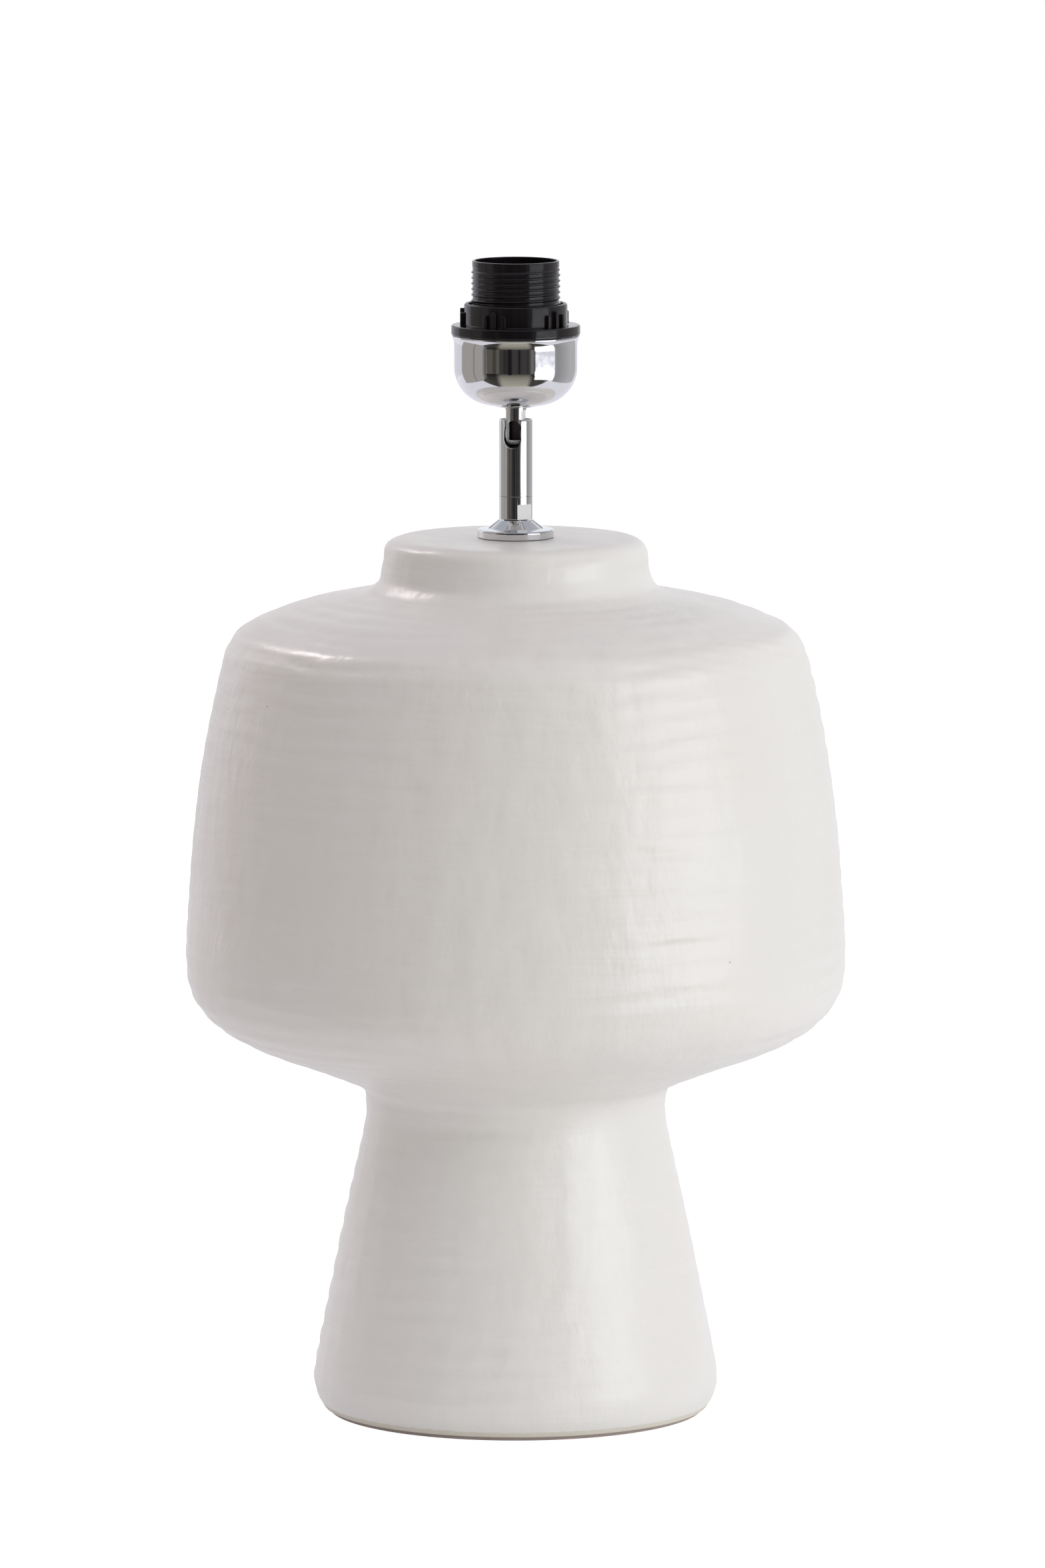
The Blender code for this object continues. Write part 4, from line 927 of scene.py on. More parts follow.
def white_glaze():
    material, tree, shader = finish("white_glaze", (0.80, 0.79, 0.77), 0.42)
    place = object_place(tree)
    parts = separated(tree, place)
    glaze = mixed(tree, patches(tree, 11.0, 2.0, 0.0, 0.55), GLAZE, THIN_GLAZE)
    specks = effect(tree, "rare_specks", Scale=55.0, Size=0.022, Share=0.16)
    glaze = mixed(tree, specks, glaze, SPECK)
    edge = number(tree, "MULTIPLY_ADD", noise(tree, place, 260.0), GLAZE_EDGE_WAVER,
                  BODY_BOTTOM + BARE_FOOT - GLAZE_EDGE_WAVER / 2)
    bare = number(tree, "LESS_THAN", parts[2], edge)
    clay = mixed(tree, grain(tree, 1400.0, 0.7), DARK_CLAY, PALE_CLAY)
    satin = patches(tree, 30.0, 3.0, 0.33, 0.42)
    feed(tree, shader, Base_Color=mixed(tree, bare, glaze, clay),
         Roughness=number(tree, "MULTIPLY_ADD", bare, BARE_DULLNESS, satin))
    share = number(tree, "ARCTAN2", parts[1], parts[0])
    waver = product(tree, noise(tree, place, 38.0, 3.0), FINGER_WAVER)
    finger = number(tree, "SINE", number(tree, "MULTIPLY_ADD", share, FINGER_MARKS, waver))
    row = number(tree, "SINE", product(tree, parts[2], FULL_TURN / FINGER_ROW))
    worked = ramp(tree, noise(tree, place, 13.0), *WORKED_PATCHES)
    band = product(tree, ramp(tree, parts[2], *FINGERS_LOW), ramp(tree, parts[2], *FINGERS_HIGH))
    marks = product(tree, finger, worked, band, ramp(tree, row, *ROW_CONTRAST))
    upright = noise(tree, vector(tree, "MULTIPLY", place, UPRIGHT_SQUEEZE), 75.0, 3.0)
    level = noise(tree, vector(tree, "MULTIPLY", place, LEVEL_SQUEEZE), 110.0)
    pores = bump(tree, shader, grain(tree, 700.0, 0.5), PORE_DEPTH)
    worn = bump(tree, shader, marks, FINGER_DEPTH, pores)
    kneaded = bump(tree, shader, upright, MARK_DEPTH, worn)
    bump(tree, shader, level, MARK_DEPTH, kneaded)
    return material


def brown_felt():
    material, tree, shader = finish("brown_felt", (0.42, 0.34, 0.31), 0.95, Sheen_Weight=0.4,
                                    Sheen_Roughness=0.6)
    fibres = grain(tree, 2600.0, 0.8)
    feed(tree, shader, Base_Color=mixed(tree, fibres, (0.34, 0.27, 0.245), (0.56, 0.47, 0.44)))
    bump(tree, shader, fibres, 0.0003)
    return material


def grey_rubber():
    material, tree, shader = finish("grey_rubber", (0.09, 0.09, 0.09), 0.75)
    dust = patches(tree, 350.0, 3.0, 0.0, 0.6)
    feed(tree, shader, Base_Color=mixed(tree, dust, (0.07, 0.07, 0.07), (0.13, 0.128, 0.125)))
    bump(tree, shader, grain(tree, 2200.0, 0.6), 0.00005)
    return material


def zinc_steel():
    material, tree, shader = finish("zinc_steel", (0.55, 0.55, 0.52), 0.35, 1.0)
    bloom = patches(tree, 240.0, 4.0, 0.0, 0.8)
    feed(tree, shader, Base_Color=mixed(tree, bloom, (0.60, 0.60, 0.57), (0.44, 0.45, 0.44)),
         Roughness=patches(tree, 420.0, 2.0, 0.28, 0.46))
    bump(tree, shader, tool_lines(tree, (0.0, 0.0, 1.0), 5000.0, 25.0), 0.00002)
    return material


def chrome_nodes(name):
    material, tree, shader = finish(name, (0.745, 0.75, 0.765), 0.05, 1.0)
    haze = patches(tree, 160.0, 3.0)
    plated = mixed(tree, haze, (0.750, 0.755, 0.770), (0.735, 0.738, 0.748))
    worn = patches(tree, 320.0, 3.0, 0.035, 0.075)
    feed(tree, shader, Base_Color=plated, Roughness=worn)
    smooth = bump(tree, shader, grain(tree, 260.0, 0.4), PLATE_RELIEF)
    return material, tree, shader, plated, worn, smooth


def chrome():
    return chrome_nodes("chrome")[0]


def milled_chrome():
    """Chrome whose wrench flats keep the lines of the cutter under the plate."""
    material, tree, shader, plated, worn, smooth = chrome_nodes("chrome_with_milled_flats")
    way = (sin(BASE_FLAT_TURN), -cos(BASE_FLAT_TURN), 0.0)
    out = number(tree, "ABSOLUTE", reach_along(tree, object_place(tree), way))
    off = number(tree, "ABSOLUTE", number(tree, "SUBTRACT", out, BARREL_RADIUS - BASE_FLAT_DEPTH))
    flat = number(tree, "LESS_THAN", off, BASE_FLAT_TOLERANCE)
    cut = product(tree, tool_lines(tree, MILLED_LINES, 2300.0, 30.0), flat)
    dark = ramp(tree, cut, *MILLED_CONTRAST)
    feed(tree, shader, Base_Color=mixed(tree, dark, plated, MILLED_GREY),
         Roughness=number(tree, "MULTIPLY_ADD", flat, MILLED_DULLNESS, worn))
    bump(tree, shader, cut, MILLED_DEPTH, smooth)
    return material


def plated_tube(name, radius, colour):
    """Chrome outside, and duller bare metal nearer to Z than a radius, its colour darkened as
    painted shade.
    """
    material, tree, shader, plated, worn = chrome_nodes(name)[:5]
    parts = separated(tree, object_place(tree))
    out = length_of(tree, combined(tree, x=parts[0], y=parts[1]))
    # The inside: rougher bare metal, with its colour darkened as painted shade
    bare = number(tree, "LESS_THAN", out, radius)
    feed(tree, shader, Base_Color=mixed(tree, bare, plated, colour),
         Roughness=number(tree, "MULTIPLY_ADD", bare, BARE_ROUGHNESS, worn))
    return material


def brass():
    material, tree, shader = finish("brass", (0.78, 0.60, 0.30), 0.3, 1.0)
    tarnish = patches(tree, 300.0, 4.0, 0.0, 0.8)
    feed(tree, shader, Base_Color=mixed(tree, tarnish, (0.80, 0.62, 0.32), (0.58, 0.42, 0.21)),
         Roughness=patches(tree, 500.0, 2.0, 0.22, 0.42))
    bump(tree, shader, tool_lines(tree, (0.0, 1.0, 0.0), 4500.0, 30.0), 0.00002)
    return material


def red_fibre():
    material, tree, shader = finish("red_fibre", (0.45, 0.12, 0.08), 0.8)
    paper = tool_lines(tree, (0.0, 0.0, 1.0), 7000.0, 12.0)
    feed(tree, shader, Base_Color=mixed(tree, paper, (0.36, 0.09, 0.06), (0.54, 0.17, 0.11)))
    bump(tree, shader, paper, 0.00004)
    return material


def black_thermoplastic():
    material, tree, shader = finish("black_thermoplastic", (0.008, 0.0065, 0.0075), 0.10)
    flow = patches(tree, 60.0, 3.0)
    black = mixed(tree, flow, (0.007, 0.0055, 0.0065), (0.010, 0.008, 0.0095))
    feed(tree, shader, Base_Color=black, Roughness=patches(tree, 180.0, 3.0, 0.08, 0.13))
    bump(tree, shader, grain(tree, 700.0, 0.5), 0.000008)
    return material


def ivory_ceramic():
    material, tree, shader = finish("ivory_ceramic", (0.78, 0.75, 0.68), 0.55)
    fired = patches(tree, 90.0, 4.0)
    feed(tree, shader, Base_Color=mixed(tree, fired, (0.80, 0.77, 0.70), (0.70, 0.66, 0.58)))
    bump(tree, shader, grain(tree, 1800.0, 0.7), 0.00005)
    return material


# Ceramic body, pad and grommet

WAIST_HEIGHT = FOOT_EDGE_RISE + CONE_RISE
BELLY_HEIGHT = WAIST_HEIGHT + UNDERSIDE_RISE
SHOULDER_HEIGHT = BELLY_HEIGHT + SIDE_RISE
NECK_BASE_HEIGHT = SHOULDER_HEIGHT + SHOULDER_RISE
BODY_HEIGHT = NECK_BASE_HEIGHT + NECK_RISE
SHOULDER_LOW = BODY_BOTTOM + SHOULDER_HEIGHT - RIPPLES_UNDER_SHOULDER
SHOULDER_HIGH = BODY_BOTTOM + NECK_BASE_HEIGHT + RIPPLES_OVER_NECK_BASE
CORD_HOLE_MOUTH = (0.0, FOOT_RADIUS, BODY_BOTTOM + CORD_HOLE_HEIGHT)


def lie_back(height):
    """Turns a piece drawn about Z to lie along +Y, at a height."""
    return Matrix.Translation((0, 0, height)) @ Matrix.Rotation(-pi / 2, 4, "X")


def body_outline():
    foot_under = (FOOT_UNDER_RADIUS, 0)
    foot = (FOOT_RADIUS, FOOT_EDGE_RISE)
    waist = (WAIST_RADIUS, WAIST_HEIGHT)
    belly = (BELLY_RADIUS, BELLY_HEIGHT)
    shoulder = (SHOULDER_RADIUS, SHOULDER_HEIGHT)
    neck_base = (NECK_BASE_RADIUS, NECK_BASE_HEIGHT)
    neck_top = (NECK_FLAT_RADIUS, BODY_HEIGHT)
    foot_edge = stretch(foot_under, foot, FOOT_EDGE_SHARES)
    wall = (
        stretch(foot, waist, CONE_SHARES) + stretch(waist, belly, UNDERSIDE_SHARES)
        + stretch(belly, shoulder, SIDE_SHARES) + stretch(shoulder, neck_base, SHOULDER_SHARES))
    neck = stretch(neck_base, neck_top, NECK_SHARES)
    outer = smooth_curve(foot_edge + wall + neck, BODY_STEP)
    ceiling = BODY_HEIGHT - NECK_TOP_THICKNESS
    inner = moved_inwards(smooth_curve([foot_edge[-1]] + wall + neck[:1], INNER_STEP), BODY_WALL)
    inner = [point for point in inner if point[1] < ceiling]
    foot_inner = FOOT_UNDER_RADIUS - FOOT_RING_WIDTH
    under = rounded([
        (foot_inner, FOOT_FILLET * 4), (foot_inner, 0, FOOT_FILLET),
        (FOOT_UNDER_RADIUS, 0, FOOT_FILLET), outer[2]], steps=4)
    flat = [(r, BODY_HEIGHT) for r in NECK_TOP_STATIONS]
    lip = [(THREAD_HOLE_RADIUS, BODY_HEIGHT), (THREAD_HOLE_RADIUS, ceiling),
           (inner[-1][0], ceiling)]
    return outer[3:], flat + lip, inner[::-1], under[:-1]


def make_body(material):
    outer, top, inner, under = body_outline()
    outline = outer + top + inner + under
    thing = outline_thing("glazed_body", outline)
    lengths = [0.0]
    for (r0, z0), (r1, z1) in zip(outer, outer[1:]):
        lengths.append(lengths[-1] + hypot(r1 - r0, z1 - z0))
    whole = lengths[-1]
    relief = [min(1.0, length / RELIEF_FADE, (whole - length) / RELIEF_FADE) for length in lengths]
    plain = [0.0] * (len(outline) - len(outer))
    for title, values in (("along", lengths), ("relief", relief)):
        attribute = thing.data.attributes.new(title, "FLOAT", "POINT")
        attribute.data.foreach_set("value", values + plain)
    placed(thing, Matrix.Translation((0, 0, BODY_BOTTOM)))
    run_tree(
        thing, TREES["thrown_body"], Around=BODY_AROUND, Ring_Pitch=RING_PITCH,
        Ring_Depth=RING_DEPTH, Bump_Size=BUMP_SIZE, Bump_Depth=BUMP_DEPTH,
        Ripple_Pitch=RIPPLE_PITCH, Ripple_Depth=RIPPLE_DEPTH, Ripple_Turn=RIPPLE_TURN,
        Ripple_Count=RIPPLE_COUNT, Seed=RELIEF_SEED, Material=material)
    hole = cylinder(GROMMET_SLEEVE + SEAT_GAP, 0, FOOT_RADIUS + HOLE_OVERRUN)
    combine(thing, transformed(hole, lie_back(BODY_BOTTOM + CORD_HOLE_HEIGHT)), solver="MANIFOLD")
    return dress(thing, "ceramic_body")


def make_pad(material):
    edge = rounded([
        (PAD_HUB, 0), (PAD_RADIUS, 0, CRISP_EDGE), (PAD_RADIUS, PAD_THICKNESS, EASED_EDGE),
        (PAD_HUB, PAD_THICKNESS)], steps=4)[1:-1]
    rings = [(PAD_RADIUS * share, 0) for share in PAD_RING_SHARES]
    back = [(ring[0], PAD_THICKNESS) for ring in reversed(rings)]
    outline = [(0, 0)] + rings + edge + back + [(0, PAD_THICKNESS)]
    pad = turned_piece("felt_pad", outline, material, BODY_AROUND, closed=False)
    return dress(pad, "base_pad")


def make_grommet(material):
    inside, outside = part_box("cord_grommet")[0][1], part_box("cord_grommet")[1][1]
    lip = GROMMET_LIP_THICKNESS
    outline = rounded([
        (CORD_RADIUS, inside, EASED_EDGE), (GROMMET_LIP, inside, ROUND_EDGE),
        (GROMMET_LIP, inside + lip, EASED_EDGE), (GROMMET_SLEEVE, inside + lip),
        (GROMMET_SLEEVE, outside - lip), (GROMMET_LIP, outside - lip, CRISP_EDGE),
        (GROMMET_LIP, outside - lip / 2, SOFT_EDGE), (GROMMET_SLEEVE, outside, GROMMET_MOUTH_EDGE),
        (CORD_RADIUS, outside, SOFT_EDGE)])
    grommet = turned_piece("grommet", outline, material, SMALL_AROUND)
    placed(grommet, lie_back(BODY_BOTTOM + CORD_HOLE_HEIGHT))
    return dress(grommet, "cord_grommet")


# Knuckle

def metric_thread(low, high):
    return screw_thread(METRIC_ROOT, THREAD_RADIUS, METRIC_PITCH, low, high, METRIC_CREST,
                        METRIC_BASE)


def make_nipple(material):
    low, high = low_of("threaded_nipple"), high_of("threaded_nipple")
    bore = rounded([
        (METRIC_ROOT, high), (NIPPLE_BORE_RADIUS, high, CRISP_EDGE),
        (NIPPLE_BORE_RADIUS, low, CRISP_EDGE), (METRIC_ROOT, low)], steps=3)[1:-1]
    nipple = turned_piece("nipple", metric_thread(low, high) + bore, material, SMALL_AROUND)
    return dress(nipple, "threaded_nipple")


def make_canopy(material):
    outline = rounded([
        (CANOPY_RECESS, CANOPY_RECESS_DEPTH), (CANOPY_RECESS, 0), (CANOPY_RADIUS, 0, CRISP_EDGE),
        (CANOPY_RADIUS, CANOPY_RIM_HEIGHT, CANOPY_RIM_EDGE),
        (CANOPY_CONE, CANOPY_LEDGE, CANOPY_LEDGE_FILLET),
        (CANOPY_NOSE, CANOPY_NOSE_HEIGHT, EASED_EDGE), (CANOPY_TIP, CANOPY_HEIGHT, FINE_EDGE),
        (THREAD_HOLE_RADIUS, CANOPY_HEIGHT), (THREAD_HOLE_RADIUS, CANOPY_RECESS_DEPTH)],
        steps=8)
    canopy = turned_piece("canopy", outline, material)
    return dress(placed(canopy, Matrix.Translation((0, 0, CANOPY_BOTTOM))), "canopy_flange")


def make_swivel_foot(material):
    groove = SPIGOT_RADIUS - RETAINER_BITE
    groove_low, groove_high = RETAINER_RISE - RETAINER_HALF, RETAINER_RISE + RETAINER_HALF
    socket_top = NIPPLE_ENGAGEMENT + SEAT_GAP - BASE_LENGTH
    outline = rounded([
        (THREAD_HOLE_RADIUS, -BASE_LENGTH), (BARREL_RADIUS, -BASE_LENGTH, CRISP_EDGE),
        (BARREL_RADIUS, 0, SHARP_EDGE), (SPIGOT_RADIUS, 0), (SPIGOT_RADIUS, groove_low),
        (groove, groove_low), (groove, groove_high), (SPIGOT_RADIUS, groove_high),
        (SPIGOT_RADIUS, SPIGOT_TOP, EASED_EDGE), (CABLE_BORE_RADIUS, SPIGOT_TOP, CRISP_EDGE),
        (CABLE_BORE_RADIUS, socket_top), (THREAD_HOLE_RADIUS, socket_top)])
    foot = turned_piece("swivel_foot", outline, material, KNUCKLE_AROUND)
    flat = BARREL_RADIUS - BASE_FLAT_DEPTH
    half = sqrt(BARREL_RADIUS ** 2 - flat ** 2) + CUT_MARGIN
    low, high = -BASE_LENGTH - OVERRUN, -BASE_FLAT_MARGIN
    pocket = rounded([(-half, low), (half, low), (half, high, BASE_FLAT_CORNER),
                      (-half, high, BASE_FLAT_CORNER)])
    for side in (-1, 1):
        cutter = extruded([(x, side * flat, z) for x, z in pocket], (0, side * OVERRUN, 0))
        combine(foot, transformed(cutter, Matrix.Rotation(BASE_FLAT_TURN, 4, "Z")))
    hole = cylinder(PIN_RADIUS + SEAT_GAP, 0, SPIGOT_RADIUS + OVERRUN, sides=24)
    way = Matrix.Translation((0, 0, PIN_RISE)) @ Matrix.Rotation(SLOT_TURN, 4, "Z")
    combine(foot, transformed(hole, way @ Matrix.Rotation(pi / 2, 4, "X")))
    return dress(placed(foot, Matrix.Translation((0, 0, SEAM))), "swivel_base")


def slot_cutter(top):
    """A slot with a round foot, from the axis out through the front."""
    half = ROD_FLAT_WIDTH / 2 + SLOT_CLEARANCE
    foot = top - BALL_DEPTH - ROD_RADIUS - SLOT_FOOT_CLEARANCE + half
    outline = arc(0, foot, half, -pi, 0, 32) + [(half, top + OVERRUN), (-half, top + OVERRUN)]
    return extruded([(x, 0, z) for x, z in outline], (0, -BARREL_RADIUS - OVERRUN, 0))


def make_sleeve(material):
    low, top = SEAM_LINE, BARREL_TOP - SEAM
    centre = BALL_CENTRE - SEAM
    groove = BALL_BORE_RADIUS + RETAINER_BITE
    groove_low, groove_high = RETAINER_RISE - RETAINER_HALF, RETAINER_RISE + RETAINER_HALF
    dome = arc(0, centre, BALL_BORE_RADIUS, 0, pi / 2, 24)
    corners = [
        (BARREL_HUB, top), (BARREL_RADIUS, top, SOFT_EDGE), (BARREL_RADIUS, low, SHARP_EDGE),
        (BALL_BORE_RADIUS, low, FINE_EDGE), (BALL_BORE_RADIUS, groove_low), (groove, groove_low),
        (groove, groove_high), (BALL_BORE_RADIUS, groove_high)]
    outline = [(0, top)] + rounded(corners) + dome[:-1] + [(0, dome[-1][1])]
    sleeve = turned_piece("swivel_sleeve", outline, material, KNUCKLE_AROUND, closed=False)
    combine(sleeve, slot_cutter(top))
    radius = ROD_RADIUS + SEAT_GAP
    half = ROD_FLAT_WIDTH / 2 + SEAT_GAP
    turn = asin(half / radius)
    opening = arc(0, 0, radius, pi / 2 - turn, pi / 2 + turn, 32)
    opening += [(-half, -radius / 2), (half, -radius / 2)]
    combine(sleeve, extruded([(x, y, centre) for x, y in opening], (0, 0, top + OVERRUN - centre)))
    return dress(placed(sleeve, knuckle_place(SEAM)), "swivel_barrel")


def knuckle_place(height):
    return Matrix.Translation((0, 0, height)) @ Matrix.Rotation(SLOT_TURN, 4, "Z")


def make_ball_stem(material):
    """Ball, flatted rod, collar and threaded end, drawn from the ball's centre."""
    start = -atan2(sqrt(BALL_RADIUS ** 2 - CABLE_BORE_RADIUS ** 2), CABLE_BORE_RADIUS)
    end = atan2(sqrt(BALL_RADIUS ** 2 - ROD_RADIUS ** 2), ROD_RADIUS)
    ball = arc(0, 0, BALL_RADIUS, start, end, 32)
    collar = ROD_FLAT_LENGTH + COLLAR_LENGTH
    top = STEM_TOP - BALL_CENTRE
    outline = (
        ball + [(ROD_RADIUS, ROD_FLAT_LENGTH), (ROD_RADIUS, collar)]
        + metric_thread(collar + THREAD_LEAD, top) + [(CABLE_BORE_RADIUS, top)])
    stem = turned_piece("ball_stem", outline, material, KNUCKLE_AROUND)
    flat = ROD_FLAT_WIDTH / 2
    outside = BALL_RADIUS + OVERRUN
    low = ball[-1][1]
    combine(stem, box((-outside, -outside, low), (-flat, outside, ROD_FLAT_LENGTH)))
    combine(stem, box((flat, -outside, low), (outside, outside, ROD_FLAT_LENGTH)))
    half, sill = WINDOW_HALF, -WINDOW_SILL_DROP
    window = arc(0, WINDOW_TOP - half, half, 0, pi, 32) + [(-half, sill), (half, sill)]
    combine(stem, extruded([(x, 0, z) for x, z in window], (0, -BALL_RADIUS - OVERRUN, 0)))
    return dress(placed(stem, knuckle_place(BALL_CENTRE)), "tilt_stem")


# Cup, skirt and shade ring

def make_cup(material):
    bowl_foot = CUP_BOSS_RADIUS + CUP_BOSS_EDGE
    bowl_low = CUP_BOTTOM + CUP_BOSS_DEPTH
    bowl_top = CUP_BOTTOM + CUP_BOWL_HEIGHT
    flare_low = CUP_TOP - CUP_LIP_HEIGHT - CUP_FLARE_HEIGHT
    flare_radius = (CUP_FLARE_HEIGHT ** 2 + CUP_FLARE ** 2) / (2 * CUP_FLARE)
    flare_turn = asin(CUP_FLARE_HEIGHT / flare_radius)

    def wall(sheet):
        bowl = arc(bowl_foot, bowl_top, CUP_RADIUS - bowl_foot - sheet, -pi / 2, 0, BOWL_STEPS,
                   bowl_top - bowl_low - sheet)
        flare = arc(CUP_RADIUS + flare_radius, flare_low, flare_radius + sheet,
                    pi, pi - flare_turn, FLARE_STEPS)
        return bowl + flare

    outer, inner = wall(0), wall(CUP_SHEET)
    sides = [(CUP_RADIUS, bowl_top + (flare_low - bowl_top) * share)
             for share in CUP_UPRIGHT_SHARES]
    lip_low = CUP_TOP - CUP_LIP_HEIGHT
    lip = rounded([
        (outer[-1][0], lip_low), (outer[-1][0], CUP_TOP, FINE_EDGE),
        (inner[-1][0], CUP_TOP, FINE_EDGE), (inner[-1][0], lip_low)], steps=3)[1:-1]
    boss = rounded([
        (THREAD_HOLE_RADIUS, CUP_BOTTOM), (CUP_BOSS_RADIUS, CUP_BOTTOM, CRISP_EDGE),
        (bowl_foot, bowl_low, CRISP_EDGE), (bowl_foot + CUP_BOSS_RUN, bowl_low)],
        steps=4)[:-1]
    floor = [(radius, CUP_BOTTOM + CUP_SHEET) for radius in (CUP_BOSS_RADIUS, THREAD_HOLE_RADIUS)]
    bowl, flare = outer[BOSS_OVERLAP:BOWL_STEPS + 1], outer[BOWL_STEPS + 1:]
    outline = boss + bowl + sides + flare + lip + inner[::-1] + floor
    return dress(turned_piece("chrome_cup", outline, material, CUP_AROUND), "lampholder_cup")


def make_skirt(material):
    web_top = SKIRT_TOP - SOCKET_MOUTH_DROP
    web_low = web_top - SOCKET_WEB
    socket_low = BLOCK_TOP + SEAT_GAP
    band_low = SKIRT_TOP - SKIRT_BAND_HEIGHT
    outer = screw_thread(
        SKIRT_ROOT_RADIUS, SKIRT_CREST_RADIUS, SKIRT_PITCH, SKIRT_BOTTOM + SKIRT_THREAD_START,
        band_low, SKIRT_THREAD_CREST, SKIRT_THREAD_BASE)
    mouth = rounded([
        (SKIRT_ROOT_RADIUS, band_low + SHARP_EDGE),
        (SKIRT_BAND_RADIUS, band_low + CRISP_EDGE, SHARP_EDGE),
        (SKIRT_BAND_RADIUS, SKIRT_TOP, SKIRT_RIM_EDGE),
        (SKIRT_BORE_RADIUS, SKIRT_TOP, SKIRT_RIM_EDGE), (SKIRT_BORE_RADIUS, web_top, ROUND_EDGE),
        (SOCKET_RADIUS, web_top, SOFT_EDGE), (SOCKET_RADIUS, web_low)], steps=5)[:-1]
    inner = screw_thread(
        SOCKET_RADIUS, SOCKET_CREST_RADIUS, SOCKET_PITCH, socket_low + THREAD_LEAD,
        web_top - SOCKET_THREAD_DROP, SOCKET_THREAD_CREST, SOCKET_THREAD_BASE)[::-1]
    inside = [
        (SOCKET_RADIUS, socket_low), (SOCKET_OUTER_RADIUS, socket_low),
        (SOCKET_OUTER_RADIUS, web_low), (SKIRT_BORE_RADIUS, web_low),
        (SKIRT_BORE_RADIUS, SKIRT_BOTTOM), (SKIRT_ROOT_RADIUS, SKIRT_BOTTOM)]
    outline = outer + mouth + inner + inside
    skirt = turned_piece("threaded_holder", outline, material, THREAD_AROUND)
    return dress(placed(skirt, Matrix.Rotation(SKIRT_THREAD_TURN, 4, "Z")), "threaded_skirt")


def make_ring(material):
    top = SHADE_RING_THICKNESS + SHADE_COLLAR_HEIGHT
    bore, relief = SHADE_THREAD_ROOT, SHADE_BORE_RADIUS + SHADE_RELIEF
    base, run_out = SHADE_RING_THICKNESS, SHADE_THREAD_HEIGHT
    thread = screw_thread(bore, SHADE_THREAD_TOP, SKIRT_PITCH, CRISP_EDGE, run_out,
                          SHADE_THREAD_CREST, SHADE_THREAD_BASE)[::-1]
    shell = rounded([
        (bore, 0), (SHADE_RING_RADIUS, 0, SOFT_EDGE),
        (SHADE_RING_RADIUS, base - SHADE_RING_SLOPE, SHADE_RING_EDGE),
        (SHADE_COLLAR_RADIUS, base, SOFT_EDGE), (SHADE_COLLAR_RADIUS, top, SHADE_COLLAR_EDGE),
        (relief, top, ROUND_EDGE), (relief, run_out + SHADE_RELIEF), (bore, run_out + SHARP_EDGE)])
    ring = turned_piece("shade_clamp_ring", shell + thread, material, THREAD_AROUND)
    half = RIB_WIDTH / 2
    arch = arc(0, base + RIB_HEIGHT - half, half, 0, pi, 12)
    outline = arch + [(-half, base - RIB_ROOT), (half, base - RIB_ROOT)]
    start = SHADE_COLLAR_RADIUS - RIB_BITE
    rib_shape = extruded([(x, -start, z) for x, z in outline], (0, -RIB_BITE - RIB_PROUD, 0))
    corners = [edge for edge in rib_shape.edges if edge.calc_face_angle(0) > RIB_CORNER_TURN]
    bmesh.ops.bevel(rib_shape, geom=corners, offset=RIB_EDGE, segments=3, profile=0.5,
                    affect="EDGES", clamp_overlap=True)
    ribs = from_bmesh("grip_ribs", rib_shape)
    run_tree(ribs, TREES["grip_ribs"], Groups=RIB_GROUPS, Ribs=RIBS_IN_GROUP, Turn=RIB_GROUP_TURN,
             Spacing=RIB_SPACING, Side_Drop=RIB_SIDE_DROP, Material=material)
    combine(ring, ribs, "UNION")
    return dress(placed(ring, Matrix.Translation((0, 0, RING_BOTTOM))), "shade_ring")


# Camera, lights and floor

def make_camera():
    camera = bpy.data.cameras.new("camera")
    camera.lens = CAMERA_LENS
    camera.sensor_width = CAMERA_SENSOR
    camera.clip_end = CAMERA_REACH
    holder = bpy.data.objects.new("camera", camera)
    bpy.context.scene.collection.objects.link(holder)
    look_at(holder, CAMERA_PLACE, CAMERA_AIM)
    bpy.context.scene.camera = holder


def hot_middle(light):
    """A lamp behind cloth: the middle of the light's width glows most."""
    light.use_nodes = True
    tree = light.node_tree
    place = add(tree, "ShaderNodeNewGeometry").outputs["Parametric"]
    swell = number(tree, "SINE", product(tree, separated(tree, place)[0], pi))
    glow = number(tree, "MULTIPLY_ADD", number(tree, "POWER", swell, 2.0), CLOTH_SWELL, CLOTH_RIM)
    tree.links.new(glow, tree.nodes["Emission"].inputs["Strength"])


def look_at(holder, place, aim):
    holder.location = place
    way = Vector(aim) - Vector(place)
    holder.rotation_euler = way.to_track_quat("-Z", "Y").to_euler()


def make_light(name, place, aim, width, height, power, colour):
    light = bpy.data.lights.new(name, "AREA")
    light.shape = "RECTANGLE"
    light.size = width
    light.size_y = height
    light.energy = power
    light.color = colour
    holder = bpy.data.objects.new(name, light)
    bpy.context.scene.collection.objects.link(holder)
    look_at(holder, place, aim)
    holder.visible_camera = False
    return holder


def around_lamp(turn, distance, height):
    """A place at a turn from the front, positive to the right."""
    return (distance * sin(turn), -distance * cos(turn), height)


